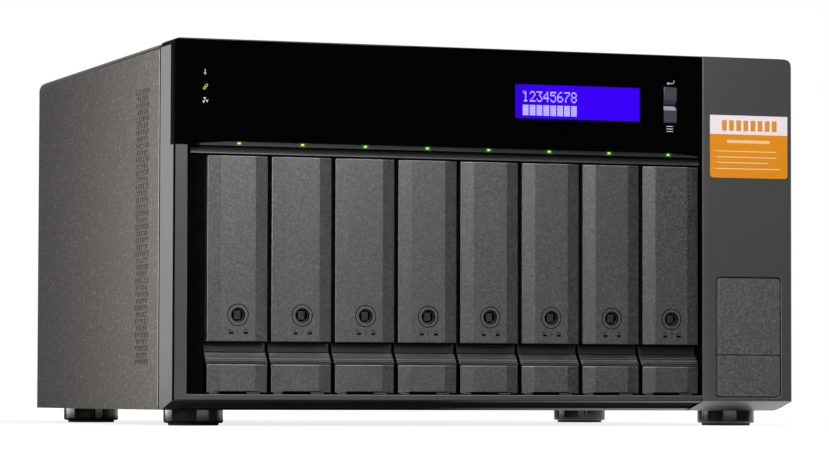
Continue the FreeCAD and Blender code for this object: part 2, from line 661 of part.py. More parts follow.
def drive_cage():
    """Steel cage: floor and ceiling sheets, nine upright walls and two cross members on the base."""
    left = bay_centre(0) - BAY_PITCH / 2
    right = bay_centre(BAYS - 1) + BAY_PITCH / 2
    edge = DIVIDER / 2
    sheets = [block(left - edge, right + edge, CAGE_FRONT, CAGE_REAR, z, z + SHEET)
              for z in (CAGE_FLOOR - SHEET, CAGE_CEILING)]
    walls = []
    for number in range(BAYS + 1):
        x = left + number * BAY_PITCH
        walls.append(block(x - edge, x + edge, CAGE_FRONT, CAGE_REAR, CAGE_FLOOR, CAGE_CEILING))
    members = [block(left, right, y, y + 14, BODY_BOTTOM + SHEET, CAGE_FLOOR - SHEET) for y in (44, 158)]
    return sheets + walls + members


def backplane_board():
    """Upright board behind the bays, with a tall air window beside each socket."""
    holes = [oblong(bay_centre(bay) + 1, bay_centre(bay) + 13, 26, 124) for bay in range(BAYS)]
    outline = oblong(bay_centre(0) - 16, bay_centre(BAYS - 1) + 16,
                     CAGE_FLOOR - SHEET, CAGE_CEILING + SHEET)
    return pierced_plate("y", outline, holes, CAGE_REAR, CAGE_REAR + BOARD)


def drive_sockets():
    """One socket for each bay, on the front of the backplane, facing the drive's plug."""
    shapes = []
    for bay in range(BAYS):
        x = bay_centre(bay) + DRIVE_LEFT
        z = DRIVE_BOTTOM + 9
        shapes.append(block(x + 0.2, x + 6.6, SOCKET_FRONT, CAGE_REAR, z, z + 42))
    return shapes


def interface_board():
    """Horizontal board above the cage: a finned cooler on its controller, and a row of components."""
    shapes = [block(-30, 108, 150, REAR_PANEL - 0.4, INTERFACE_Z, INTERFACE_Z + BOARD)]
    top = INTERFACE_Z + BOARD
    shapes.append(block(0, 40, 190, 230, top, top + 3))
    for fin in range(8):
        x = 0.5 + fin * 5.4
        shapes.append(block(x, x + 1.2, 190, 230, top + 3, top + 14))
    for x in (56, 72, 88):
        shapes.append(block(x, x + 10, 200, 210, top, top + 4))
    return [fused(shapes)]


def link_ports():
    """Two shielded link port cages that open at the rear, each with a contact tongue deep inside."""
    shapes = []
    z = INTERFACE_Z + BOARD
    for x in PORT_X:
        half = PORT_WIDTH / 2
        cage = block(x - half, x + half, PORT_FRONT, PORT_REAR, z, z + PORT_HEIGHT)
        inner = half - 1.2
        cavity = block(x - inner, x + inner, PORT_FRONT + 4, PORT_REAR + 1, z + 1.2, z + PORT_HEIGHT - 1.2)
        tongue = block(x - half + 3, x + half - 3, PORT_FRONT + 3, PORT_FRONT + 12, z + 5.4, z + 6.6)
        shapes.append(fused([cage.cut(cavity), tongue]))
    return shapes


def power_supply_case():
    """Slim supply standing on edge: a folded case, its fan's holes and frame, and the inlet window."""
    x0, x1, y0, y1, z0, z1 = SUPPLY
    wall = 1.0
    case = block(x0, x1, y0, y1 - wall, z0, z1)
    case = case.cut(block(x0 + wall, x1 - wall, y0 + wall, y1, z0 + wall, z1 - wall))
    holes = hexagon_disc(SUPPLY_FAN[0], SUPPLY_FAN[1], SUPPLY_FAN_RADIUS, 4.0, 5.0)
    holes.append(oblong(INLET[0] - 13.75, INLET[0] + 13.75, INLET[1] - 10, INLET[1] + 10))
    back = pierced_plate("y", oblong(x0, x1, z0, z1), holes, y1 - wall, y1)
    fan_back = y1 - wall - 0.6
    fan_front = fan_back - 10
    x, z = SUPPLY_FAN
    half = SUPPLY_FAN_HALF
    frame = block(x - half, x + half, fan_front, fan_back + 0.6, z - half, z + half)
    frame = frame.cut(rod("y", x, z, SUPPLY_FAN_RADIUS + 0.8, fan_front - 1, fan_back + 1))
    reach = half - 0.5
    spokes = [block(x - reach, x + reach, fan_front, fan_front + 1.4, z - 1.2, z + 1.2),
              block(x - 1.2, x + 1.2, fan_front, fan_front + 1.4, z - reach, z + reach),
              rod("y", x, z, 6, fan_front, fan_front + 1.6)]
    frame = fused([frame] + spokes).cut(rod("y", x, z, SUPPLY_SHAFT + RUNNING, fan_front - 2, fan_back))
    legs = []
    for leg_y in (150, 230):
        for leg_x in (x0 + 2, x1 - 16):
            legs.append(block(leg_x, leg_x + 14, leg_y, leg_y + 14, BODY_BOTTOM + SHEET, z0))
    return [fused([case, back]), frame] + legs


def power_inlet():
    """Three-pole appliance inlet: flanged body, open well and three flat pins."""
    x, z = INLET
    back = SUPPLY[3]
    flange = prism("y", rounded(x - 15.3, x + 15.3, z - 11.6, z + 11.6, [2] * 4, 3), back, back + 1.8)
    body = block(x - 13.5, x + 13.5, back - 16, back + 0.5, z - 9.8, z + 9.8)
    well = prism("y", [(x - 12, z - 8.2), (x + 12, z - 8.2), (x + 12, z + 4), (x + 8, z + 8.2),
                       (x - 8, z + 8.2), (x - 12, z + 4)], back - 14, back + 3)
    pins = [block(x + a - 1, x + a + 1, back - 15, back - 1.5, z + b - 2, z + b + 2)
            for a, b in ((-7, -2), (7, -2), (0, 3.2))]
    return fused([fused([flange, body]).cut(well)] + pins)


def fan_frame(x):
    """Square fan frame: round bore, four struts and a bearing seat at the inlet side."""
    half = FAN_SIZE / 2
    front = REAR_PANEL - FAN_DEPTH
    outline = rounded(x - half, x + half, FAN_Z - half, FAN_Z + half, [6] * 4, 3)
    frame = prism("y", outline, front, REAR_PANEL)
    frame = frame.cut(rod("y", x, FAN_Z, FAN_BORE, front - 1, REAR_PANEL + 1))
    struts = [rod("y", x, FAN_Z, HUB_RADIUS, front, front + STRUT_DEPTH)]
    for turn in (45, 135):
        strut = block(-FAN_BORE - 1, FAN_BORE + 1, front, front + STRUT_DEPTH,
                      -STRUT_WIDTH / 2, STRUT_WIDTH / 2)
        strut.rotate(Vector(0, 0, 0), Vector(0, 1, 0), turn)
        strut.translate(Vector(x, 0, FAN_Z))
        struts.append(strut)
    frame = fused([frame] + struts)
    return frame.cut(rod("y", x, FAN_Z, FAN_SHAFT + RUNNING, front - 1, front + STRUT_DEPTH + 1))


def fan_rotor(x, z, front, hub, tip, length, blades, shaft):
    """Hub, pitched blades and a shaft that runs in the frame's bearing seat."""
    spindle = rod("y", x, z, shaft, front - 2.3, front + 1)
    parts = [rod("y", x, z, hub, front, front + length), spindle]
    chord = length * 1.35
    for number in range(blades):
        blade = block(-chord / 2, chord / 2, -0.7, 0.7, hub - 1, tip)
        blade.rotate(Vector(0, 0, 0), Vector(0, 0, 1), BLADE_PITCH)
        blade.rotate(Vector(0, 0, 0), Vector(0, 1, 0), 360 * number / blades)
        blade.translate(Vector(x, front + length / 2, z))
        parts.append(blade)
    sweep = fused([rod("y", x, z, tip, front, front + length), spindle])
    return fused(parts).common(sweep)


def build():
    os.makedirs("parts", exist_ok=True)
    write("outer_cover", outer_cover())
    write("base_pan", base_pan())
    write("rear_panel", rear_panel())
    write("feet", *feet())
    write("foot_pads", *foot_pads())
    write("fasteners", *fasteners())
    write("front_frame", front_frame())
    write("column_panel", column_panel())
    write("column_covers", *column_covers())
    write("display_panel", display_panel())
    write("lcd_module", lcd_module())
    write("display_board", *display_board())
    write("bay_trim_bar", bay_trim_bar())
    write("lamp_strip", lamp_strip())
    write("lamp_guides", *lamp_guides())
    write("enter_button", push_button(True))
    write("select_button", push_button(False))
    in_each_bay = {"tray": tray(), "latch": [lever()], "lock": [key_lock()], "drive": [drive()]}
    for name, shapes in in_each_bay.items():
        for bay in range(BAYS):
            write(name + "_" + str(bay + 1), *[at_bay(shape, bay) for shape in shapes])
    write("drive_cage", *drive_cage())
    write("backplane_board", backplane_board())
    write("drive_sockets", *drive_sockets())
    write("interface_board", *interface_board())
    write("link_ports", *link_ports())
    write("power_supply_case", *power_supply_case())
    write("power_inlet", power_inlet())
    write("fan_frames", *[fan_frame(x) for x in FAN_X])
    for name, x in zip(("fan_rotor_left", "fan_rotor_right"), FAN_X):
        write(name, fan_rotor(x, FAN_Z, REAR_PANEL - FAN_DEPTH + 2.3, HUB_RADIUS, FAN_TIP, ROTOR_LENGTH,
                              BLADES, FAN_SHAFT))
    write("psu_fan_rotor", fan_rotor(*SUPPLY_FAN, SUPPLY[3] - 10.0, SUPPLY_HUB_RADIUS, SUPPLY_FAN_RADIUS,
                                     SUPPLY_ROTOR_LENGTH, SUPPLY_BLADES, SUPPLY_SHAFT))


build()
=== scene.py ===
import bpy
import bmesh
import math
from mathutils import Matrix, Vector


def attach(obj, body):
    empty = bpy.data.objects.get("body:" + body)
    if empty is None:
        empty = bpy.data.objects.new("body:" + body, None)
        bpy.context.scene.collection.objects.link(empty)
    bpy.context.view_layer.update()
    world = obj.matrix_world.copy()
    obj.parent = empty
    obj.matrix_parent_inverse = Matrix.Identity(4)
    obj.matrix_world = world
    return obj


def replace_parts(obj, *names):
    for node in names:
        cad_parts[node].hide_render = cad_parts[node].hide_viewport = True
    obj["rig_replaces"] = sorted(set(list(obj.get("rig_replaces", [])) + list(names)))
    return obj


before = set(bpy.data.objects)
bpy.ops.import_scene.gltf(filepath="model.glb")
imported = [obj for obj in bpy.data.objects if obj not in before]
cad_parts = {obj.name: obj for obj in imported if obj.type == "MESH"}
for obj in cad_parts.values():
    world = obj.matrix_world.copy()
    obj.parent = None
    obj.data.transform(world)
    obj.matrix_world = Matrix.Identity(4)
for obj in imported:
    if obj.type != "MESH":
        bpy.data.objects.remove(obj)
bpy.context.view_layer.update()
bpy.ops.object.select_all(action="DESELECT")


# ---------------------------------------------------------------------------------------------
# The room. A pale table runs into a white wall. Soft boxes light the front, the top and the left
# side, two low strips lift the lower edges, and a low lens looks up a little from the left.

def node(tree, kind, inputs=None, **settings):
    """Adds one node. Inputs are plain values, or the sockets that feed them."""
    made = tree.nodes.new(kind)
    for name, value in settings.items():
        setattr(made, name, value)
    for name, value in (inputs or {}).items():
        if isinstance(value, bpy.types.NodeSocket):
            tree.links.new(value, made.inputs[name])
        else:
            made.inputs[name].default_value = value
    return made


def tint(code):
    """A colour written as sRGB hex, turned to linear."""
    channels = [int(code[i:i + 2], 16) / 255 for i in (0, 2, 4)]
    linear = [c / 12.92 if c <= 0.04045 else ((c + 0.055) / 1.055) ** 2.4 for c in channels]
    return (*linear, 1.0)


scene = bpy.context.scene
scene.view_settings.view_transform = "Standard"

LENS_PLACE = (-0.6378, -1.8242, 0.0154)
LENS_LENGTH = 157.1
yaw, pitch, roll = (math.radians(a) for a in (19.508, 2.584, 0.155))
aim = (Matrix.Rotation(-yaw, 3, "Z") @ Matrix.Rotation(math.pi / 2 + pitch, 3, "X")
       @ Matrix.Rotation(roll, 3, "Z"))
bpy.ops.object.camera_add(location=LENS_PLACE, rotation=aim.to_euler())
camera = bpy.context.object
camera.name = "product_camera"
camera.data.sensor_width = 36.0
camera.data.lens = LENS_LENGTH
camera.data.clip_start = 0.05
scene.camera = camera

world = bpy.data.worlds.new("studio_walls")
world.use_nodes = True
scene.world = world
tree = world.node_tree
tree.nodes.clear()
path = node(tree, "ShaderNodeLightPath")
heading = node(tree, "ShaderNodeSeparateXYZ", {0: node(tree, "ShaderNodeTexCoord").outputs["Generated"]})
# In reflections the wall behind the object is white, and the room behind the lens is dark. What is
# matt is lit by a mid grey from all round.
behind = node(tree, "ShaderNodeMapRange", {"Value": heading.outputs["Y"], "From Min": 0.25,
                                           "From Max": 0.45, "To Min": 0.03, "To Max": 1.0},
              interpolation_type="SMOOTHSTEP")
mirrored = node(tree, "ShaderNodeMix", {0: path.outputs["Is Glossy Ray"], 6: tint("808285"),
                                        7: behind.outputs[0]}, data_type="RGBA")
open_view = node(tree, "ShaderNodeMath", {0: path.outputs["Is Camera Ray"],
                                          1: path.outputs["Is Transmission Ray"]}, operation="MAXIMUM")
seen = node(tree, "ShaderNodeMix", {0: open_view.outputs[0], 6: mirrored.outputs[2], 7: tint("FFFFFF")},
            data_type="RGBA")
wall = node(tree, "ShaderNodeBackground", {"Color": seen.outputs[2], "Strength": 1.0})
node(tree, "ShaderNodeOutputWorld", {"Surface": wall.outputs[0]})


def soft_box(name, place, target, width, height, watts, hue):
    """A flat soft light that faces its target and stays out of sight of the lens."""
    bpy.ops.object.light_add(type="AREA", location=place)
    lamp = bpy.context.object
    lamp.name = name
    lamp.data.shape = "RECTANGLE"
    lamp.data.size = width
    lamp.data.size_y = height
    lamp.data.energy = watts
    lamp.data.color = tint(hue)[:3]
    lamp.rotation_euler = (Vector(place) - Vector(target)).to_track_quat("Z", "Y").to_euler()
    lamp.visible_camera = False


soft_box("front_soft_box", (0.03, -0.85, 0.52), (0.0, -0.14, 0.09), 0.40, 0.50, 3.85, "FFFFFF")
soft_box("over_soft_box", (0.20, -0.60, 1.00), (0.05, -0.14, 0.12), 0.90, 0.45, 5.6, "FFFFFF")
soft_box("left_soft_box", (-0.38, -0.23, 0.13), (-0.165, -0.13, 0.08), 0.20, 0.20, 1.25, "FFFAF4")
soft_box("top_soft_box", (0.2, 0.2, 2.2), (0.0, 0.0, 0.1), 1.6, 1.6, 14.0, "FFFFFF")
soft_box("low_white_card", (0.065, -0.56, 0.003), (0.065, -0.14, 0.003), 0.46, 0.006, 0.055, "FFFFFF")
soft_box("rim_strip_box", (-0.60, 0.28, 0.004), (-0.144, -0.10, 0.004), 0.50, 0.008, 0.14, "FFFFFF")

bpy.ops.mesh.primitive_plane_add(size=16.0, location=(0, 0, -0.0001))
floor = bpy.context.object
floor.name = "table_top"
sweep = bpy.data.materials.new("white_paper_sweep")
sweep.use_nodes = True
tree = sweep.node_tree
tree.nodes.clear()
ground = node(tree, "ShaderNodeTexCoord").outputs["Object"]
fibre = node(tree, "ShaderNodeTexNoise", {"Vector": ground, "Scale": 400.0, "Detail": 2.0})
paper = node(tree, "ShaderNodeMix", {0: fibre.outputs[0], 6: tint("5C5C5C"), 7: tint("646464")},
             data_type="RGBA")
matt = node(tree, "ShaderNodeBsdfDiffuse", {"Color": paper.outputs[2], "Roughness": 0.4})
# Seen by the lens, and in reflections of what lies below and behind the object's right half, the
# paper is the white of the wall. Near the object a part of that white comes from the lamps, so that
# its shadow shows.
apart = node(tree, "ShaderNodeVectorMath", {0: ground}, operation="LENGTH")
clear = node(tree, "ShaderNodeMapRange", {"Value": apart.outputs["Value"], "From Min": 0.22,
                                          "From Max": 0.5, "To Min": 0.8, "To Max": 1.0},
             interpolation_type="SMOOTHSTEP")
lit = node(tree, "ShaderNodeBsdfDiffuse", {"Color": tint("808080")})
glow = node(tree, "ShaderNodeEmission", {"Color": tint("FFFFFF"), "Strength": clear.outputs[0]})
shown = node(tree, "ShaderNodeAddShader", {0: lit.outputs[0], 1: glow.outputs[0]})
depth = node(tree, "ShaderNodeSeparateXYZ", {0: ground})
beyond = node(tree, "ShaderNodeMapRange", {"Value": depth.outputs["Y"], "From Min": -0.14,
                                           "From Max": -0.12})
aside = node(tree, "ShaderNodeMapRange", {"Value": depth.outputs["X"], "From Min": -0.02,
                                          "From Max": 0.15})
path = node(tree, "ShaderNodeLightPath")
under = node(tree, "ShaderNodeMath", {0: beyond.outputs[0], 1: aside.outputs[0]}, operation="MULTIPLY")
echo = node(tree, "ShaderNodeMath", {0: path.outputs["Is Glossy Ray"], 1: under.outputs[0]},
            operation="MULTIPLY")
direct = node(tree, "ShaderNodeMath", {0: path.outputs["Is Camera Ray"], 1: echo.outputs[0]},
              operation="MAXIMUM")
mixed = node(tree, "ShaderNodeMixShader", {0: direct.outputs[0], 1: matt.outputs[0], 2: shown.outputs[0]})
node(tree, "ShaderNodeOutputMaterial", {"Surface": mixed.outputs[0]})
floor.data.materials.append(sweep)


# ---------------------------------------------------------------------------------------------
# Base pan and drive cage. Pressed from zinc-plated steel sheet and riveted: the pan closes the
# bottom, and the cage stands on it with one upright wall between each two bays.

def surface(name):
    """A new material with a Principled shader, and the piece's own coordinates in metres."""
    made = bpy.data.materials.new(name)
    made.use_nodes = True
    made.node_tree.nodes.clear()
    tree = made.node_tree
    shader = node(tree, "ShaderNodeBsdfPrincipled")
    node(tree, "ShaderNodeOutputMaterial", {"Surface": shader.outputs[0]})
    return made, tree, shader, node(tree, "ShaderNodeTexCoord").outputs["Object"]


def feed(tree, shader, **sockets):
    """Sets or links the shader's sockets; a word's underscores stand for spaces."""
    for name, value in sockets.items():
        socket = shader.inputs[name.replace("_", " ")]
        if isinstance(value, bpy.types.NodeSocket):
            tree.links.new(value, socket)
        else:
            socket.default_value = value


def coat(name, material):
    """Gives a CAD node its finish."""
    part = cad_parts[name]
    if not part.material_slots:
        part.data.materials.append(material)
    for place_for in part.material_slots:
        place_for.material = material


# Electroplated zinc: bluish grey, half bright, with a cloudy spangle about 6 mm across and fine
# roller lines 0.8 mm apart.
zinc, tree, shader, spot = surface("zinc_plated_sheet")
cloud = node(tree, "ShaderNodeTexVoronoi", {"Vector": spot, "Scale": 1 / 0.006, "Randomness": 1.0})
drawn = node(tree, "ShaderNodeMapping", {"Vector": spot, "Scale": (60.0, 1.0, 60.0)})
lines = node(tree, "ShaderNodeTexNoise", {"Vector": drawn.outputs[0], "Scale": 1 / 0.05, "Detail": 2.0})
shade = node(tree, "ShaderNodeMix", {0: cloud.outputs["Distance"], 6: tint("B4B7B9"), 7: tint("9DA1A5")},
             data_type="RGBA")
dull = node(tree, "ShaderNodeMapRange", {"Value": lines.outputs[0], "To Min": 0.3, "To Max": 0.48})
ridge = node(tree, "ShaderNodeBump", {"Height": lines.outputs[0], "Strength": 0.15, "Distance": 0.0001})
feed(tree, shader, Base_Color=shade.outputs[2], Metallic=1.0, Roughness=dull.outputs[0],
     Normal=ridge.outputs[0])

coat("base_pan", zinc)
coat("drive_cage", zinc)


# ---------------------------------------------------------------------------------------------
# Backplane, interface board and the small boards behind the display. Glass-fibre laminate under a
# dark green solder mask, with copper runs, and black glass-filled nylon sockets soldered on.

# Solder mask over copper: deep green, glossy, with paler runs on a 2.5 mm grid.
mask, tree, shader, spot = surface("green_solder_mask")
grid = node(tree, "ShaderNodeTexBrick", {"Vector": spot, "Scale": 1.0, "Mortar Size": 0.0003,
                                         "Brick Width": 0.0125, "Row Height": 0.0025,
                                         "Color1": tint("0E3B22"), "Color2": tint("124828"),
                                         "Mortar": tint("1F6B3A")})
weave = node(tree, "ShaderNodeTexNoise", {"Vector": spot, "Scale": 1 / 0.002, "Detail": 2.0})
relief = node(tree, "ShaderNodeBump", {"Height": grid.outputs["Fac"], "Strength": 0.3, "Distance": 0.0001})
gloss = node(tree, "ShaderNodeMapRange", {"Value": weave.outputs[0], "To Min": 0.22, "To Max": 0.34})
feed(tree, shader, Base_Color=grid.outputs["Color"], Roughness=gloss.outputs[0], IOR=1.5,
     Normal=relief.outputs[0])


def clouded(name, grain, dark, light, detail=2.0, dull=None, relief=None, twist=0.0, **sockets):
    """A finish that noise clouds between two colours, its cells of a size in millimetres. The noise
    may also run the roughness between two values, and raise a relief: a strength, and millimetres."""
    finish, tree, shader, spot = surface(name)
    noise = node(tree, "ShaderNodeTexNoise", {"Vector": spot, "Scale": 1000 / grain, "Detail": detail,
                                              "Distortion": twist})
    shade = node(tree, "ShaderNodeMix", {0: noise.outputs[0], 6: tint(dark), 7: tint(light)},
                 data_type="RGBA")
    if dull:
        rough = node(tree, "ShaderNodeMapRange", {"Value": noise.outputs[0], "To Min": dull[0],
                                                  "To Max": dull[1]})
        sockets["Roughness"] = rough.outputs[0]
    if relief:
        bump = node(tree, "ShaderNodeBump", {"Height": noise.outputs[0], "Strength": relief[0],
                                             "Distance": relief[1] / 1000})
        sockets["Normal"] = bump.outputs[0]
    feed(tree, shader, Base_Color=shade.outputs[2], **sockets)
    return finish


# Glass-filled nylon: black, half matt, with a cloudy flow of fibres near the surface.
nylon = clouded("glass_filled_nylon", 3.0, "141415", "232326", 4.0, (0.42, 0.6), twist=0.6, IOR=1.53)

for name in ("backplane_board", "display_board", "interface_board"):
    coat(name, mask)
coat("drive_sockets", nylon)


# ---------------------------------------------------------------------------------------------
# Link ports. Two shielded cages folded from tin-plated steel, pressed onto the rear edge of the
# interface board, each with a small board edge deep inside that a cable's plug slides over.

# Bright tin plate: paler and softer than chrome, with faint marks from the folding tool.
tin = clouded("tin_plated_steel", 4.0, "C4C4C2", "D6D5D1", 3.0, (0.2, 0.36), Metallic=1.0)

coat("link_ports", tin)


# ---------------------------------------------------------------------------------------------
# Power supply. A slim case of plated sheet on edge behind the column, with a small fan at its rear
# and a three-pole inlet moulded in black nylon below it.

coat("power_supply_case", zinc)
coat("power_inlet", nylon)

# Fan plastic: glass-filled polyester, black and half matt, clouded 1.5 mm across.
fan_plastic = clouded("black_polyester_fan", 1.5, "18181A", "222225", relief=(0.2, 0.1),
                      Roughness=0.38, IOR=1.55)

coat("psu_fan_rotor", fan_plastic)


# ---------------------------------------------------------------------------------------------
# The two main fans. Square moulded frames screwed behind the rear sheet's grilles, each with a
# seven-blade rotor on a plain bearing.

coat("fan_frames", fan_plastic)
coat("fan_rotor_left", fan_plastic)
coat("fan_rotor_right", fan_plastic)


# ---------------------------------------------------------------------------------------------
# Rear panel. Punched from the same sheet as the cover and coated with it: two honeycomb grilles,
# windows for the supply and the ports, and a slot for a cable lock.

# Powder coat on steel: gunmetal grey, baked, with an orange-peel skin about 0.8 mm across and
# bright metal flakes. The flakes are really 0.05 mm; they are drawn 0.7 mm so that they show.
powder, tree, shader, spot = surface("gunmetal_powder_coat")
peel = node(tree, "ShaderNodeTexNoise", {"Vector": spot, "Scale": 1 / 0.0008, "Detail": 3.0,
                                         "Roughness": 0.6})
flake = node(tree, "ShaderNodeTexVoronoi", {"Vector": spot, "Scale": 1 / 0.0007})
spark = node(tree, "ShaderNodeMapRange", {"Value": flake.outputs["Color"], "From Min": 0.72,
                                          "From Max": 0.95})
base = node(tree, "ShaderNodeMix", {0: peel.outputs[0], 6: tint("545352"), 7: tint("666462")},
            data_type="RGBA")
shade = node(tree, "ShaderNodeMix", {0: spark.outputs[0], 6: base.outputs[2], 7: tint("8A8783")},
             data_type="RGBA")
dull = node(tree, "ShaderNodeMapRange", {"Value": peel.outputs[0], "To Min": 0.5, "To Max": 0.64})
skin = node(tree, "ShaderNodeBump", {"Height": peel.outputs[0], "Strength": 0.3, "Distance": 0.00015})
feed(tree, shader, Base_Color=shade.outputs[2], Roughness=dull.outputs[0], Specular_IOR_Level=0.02,
     Normal=skin.outputs[0])

coat("rear_panel", powder)


# ---------------------------------------------------------------------------------------------
# Feet. Glossy black mouldings screwed to the pan, each with a soft rubber pad pressed into a seat
# in its underside. The waist runs in a little under a rounded shoulder.

# The origin lies this far behind the front face.
FRONT_TO_ORIGIN = 139.8


def at(x, y, z):
    """A point in metres from millimetres: right of the middle, behind the front face, up."""
    return (x / 1000, (y - FRONT_TO_ORIGIN) / 1000, z / 1000)


def rod(vertices, radius, depth, place, tilt=0.0):
    """An upright cylinder in millimetres, or one tilted back by an angle."""
    bpy.ops.object.select_all(action="DESELECT")
    bpy.ops.mesh.primitive_cylinder_add(vertices=vertices, radius=radius / 1000, depth=depth / 1000,
                                        rotation=(tilt, 0, 0), location=at(*place))
    bpy.ops.object.transform_apply(location=True, rotation=True, scale=True)
    return bpy.context.object


def settle(piece, name, body, material, stands_for=()):
    """Names a finished piece, keeps its place in its mesh, and fixes it to its body."""
    bpy.ops.object.select_all(action="DESELECT")
    piece.select_set(True)
    bpy.context.view_layer.objects.active = piece
    bpy.ops.object.transform_apply(location=True, rotation=True, scale=True)
    piece.name = name
    piece.data.name = name
    if material is not None:
        piece.data.materials.clear()
        piece.data.materials.append(material)
    bpy.ops.object.shade_smooth_by_angle(angle=math.radians(32))
    even = piece.modifiers.new("even_shading", "WEIGHTED_NORMAL")
    even.keep_sharp = True
    bpy.ops.object.modifier_apply(modifier=even.name)
    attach(piece, body)
    if stands_for:
        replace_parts(piece, *stands_for)
    return piece


def choose(piece, kind, test):
    """Opens a piece in edit mode, with only what passes the test selected."""
    bpy.context.view_layer.objects.active = piece
    bpy.ops.object.mode_set(mode="EDIT")
    bpy.ops.mesh.select_mode(type=kind)
    bpy.ops.mesh.select_all(action="DESELECT")
    mesh = bmesh.from_edit_mesh(piece.data)
    for item in {"VERT": mesh.verts, "EDGE": mesh.edges, "FACE": mesh.faces}[kind]:
        if test(item):
            item.select_set(True)
    mesh.select_flush_mode()
    bmesh.update_edit_mesh(piece.data)


def middle_of(item):
    """The middle of an edge or face in millimetres: right, behind the front face, up."""
    points = [v.co for v in item.verts]
    x, y, z = (sum(p[i] for p in points) / len(points) * 1000 for i in range(3))
    return x, y + FRONT_TO_ORIGIN, z


def leave():
    """Ends the edit that choose began."""
    bpy.ops.object.mode_set(mode="OBJECT")


def copy_to(piece, name, shift, body, stands_for=()):
    """A copy with its own mesh, moved by a distance in millimetres."""
    twin = piece.copy()
    twin.data = piece.data.copy()
    twin.parent = None
    twin.matrix_world = Matrix.Identity(4)
    bpy.context.collection.objects.link(twin)
    twin.data.transform(Matrix.Translation([s / 1000 for s in shift]))
    twin.name = name
    twin.data.name = name
    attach(twin, body)
    if stands_for:
        twin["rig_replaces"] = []
        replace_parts(twin, *stands_for)
    return twin


# Polished ABS: deep black, smooth as the steel of its mould, with hair-fine rub marks.
foot_black = clouded("polished_black_abs", 2.5, "080808", "101011", 5.0, (0.07, 0.16), twist=1.2,
                     IOR=1.54)

# Moulded rubber: dark grey, dusty and fully matt, with a 1 mm pimple from the mould.
rubber = clouded("moulded_rubber", 1.0, "1B1B1B", "2B2A29", 3.0, relief=(0.5, 0.2), Roughness=0.85,
                 IOR=1.5)

FOOT_PLACES = [(x, y) for x in (-143.7, 143.7) for y in (36.3, 238.0)]
FIRST_X, FIRST_Y = FOOT_PLACES[0]


def from_axis(edge):
    """How far an edge of the first foot lies from the foot's axis, in millimetres."""
    x, y, z = middle_of(edge)
    return math.hypot(x - FIRST_X, y - FIRST_Y)


foot = rod(64, 14.75, 6.5, (FIRST_X, FIRST_Y, 4.45))
choose(foot, "FACE", lambda f: f.normal.z < -0.9)
bpy.ops.mesh.inset(thickness=0.00225)
bpy.ops.mesh.extrude_region_move(TRANSFORM_OT_translate={"value": (0, 0, 0.001)})
leave()
choose(foot, "EDGE", lambda e: abs(middle_of(e)[2] - 1.2) < 0.01 and from_axis(e) > 14)
bpy.ops.mesh.bevel(offset=0.0011, segments=4, affect="EDGES")
leave()
settle(foot, "foot_1", "chassis", foot_black, ["feet"])

pad = rod(64, 12.5, 2.2, (FIRST_X, FIRST_Y, 1.1))
choose(pad, "FACE", lambda f: f.normal.z < -0.9)
bpy.ops.mesh.inset(thickness=0.0016)
bpy.ops.mesh.inset(thickness=0.0005, depth=-0.0004)
leave()
choose(pad, "EDGE", lambda e: middle_of(e)[2] < 0.01 and from_axis(e) > 12)
bpy.ops.mesh.bevel(offset=0.0004, segments=3, affect="EDGES")
leave()
settle(pad, "foot_pad_1", "chassis", rubber, ["foot_pads"])

for number, (x, y) in enumerate(FOOT_PLACES[1:], 2):
    shift = (x - FIRST_X, y - FIRST_Y, 0)
    copy_to(foot, f"foot_{number}", shift, "chassis", ["feet"])
    copy_to(pad, f"foot_pad_{number}", shift, "chassis", ["foot_pads"])


# ---------------------------------------------------------------------------------------------
# Front frame. A ring moulded in ABS and sprayed satin grey, bevelled back over the feet below. Its
# rounded front left edge is left black, a groove parts it from the cover, and a dark channel is let
# into the bevel. The groove's floor, the faces inside the opening and the rounding atop the left
# side are painted black as shade.

def welded(name, source, *finishes):
    """A copy of a CAD node's mesh, its triangles welded and its flat faces joined up, with finishes
    that paint_faces gives by their order."""
    twin = bpy.data.objects.new(name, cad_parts[source].data.copy())
    twin.data.materials.clear()
    for finish in finishes:
        twin.data.materials.append(finish)
    bpy.context.collection.objects.link(twin)
    bpy.context.view_layer.objects.active = twin
    bpy.ops.mesh.customdata_custom_splitnormals_clear()
    choose(twin, "VERT", lambda v: True)
    bpy.ops.mesh.remove_doubles(threshold=0.000002)
    bpy.ops.mesh.dissolve_limited(angle_limit=math.radians(0.5))
    leave()
    return twin


def soften(piece, width, test, segments=2, finish=-1):
    """Rounds the sharp edges that pass a test on their middle, in millimetres."""
    choose(piece, "EDGE", lambda e: e.calc_face_angle(0.0) > math.radians(25) and test(*middle_of(e)))
    bpy.ops.mesh.bevel(offset=width / 1000, segments=segments, affect="EDGES", material=finish)
    bpy.ops.mesh.select_all(action="SELECT")
    bpy.ops.mesh.dissolve_degenerate(threshold=0.000001)
    leave()


def nudge(piece, shift, test):
    """Moves the corners whose place passes a test, all in millimetres."""
    choose(piece, "VERT", lambda v: test(v.co.x * 1000, v.co.y * 1000 + FRONT_TO_ORIGIN, v.co.z * 1000))
    bpy.ops.transform.translate(value=[s / 1000 for s in shift])
    leave()


def score(piece, point, normal):
    """Cuts the piece's faces along a plane through a point in millimetres, and keeps both sides."""
    choose(piece, "FACE", lambda f: True)
    bpy.ops.mesh.bisect(plane_co=at(*point), plane_no=normal)
    leave()


def paint_faces(piece, index, test):
    """Gives one of the piece's finishes to the faces whose middle, in millimetres, passes a test."""
    for face in piece.data.polygons:
        x, y, z = (c * 1000 for c in face.center)
        if test(x, y + FRONT_TO_ORIGIN, z, face.normal):
            face.material_index = index


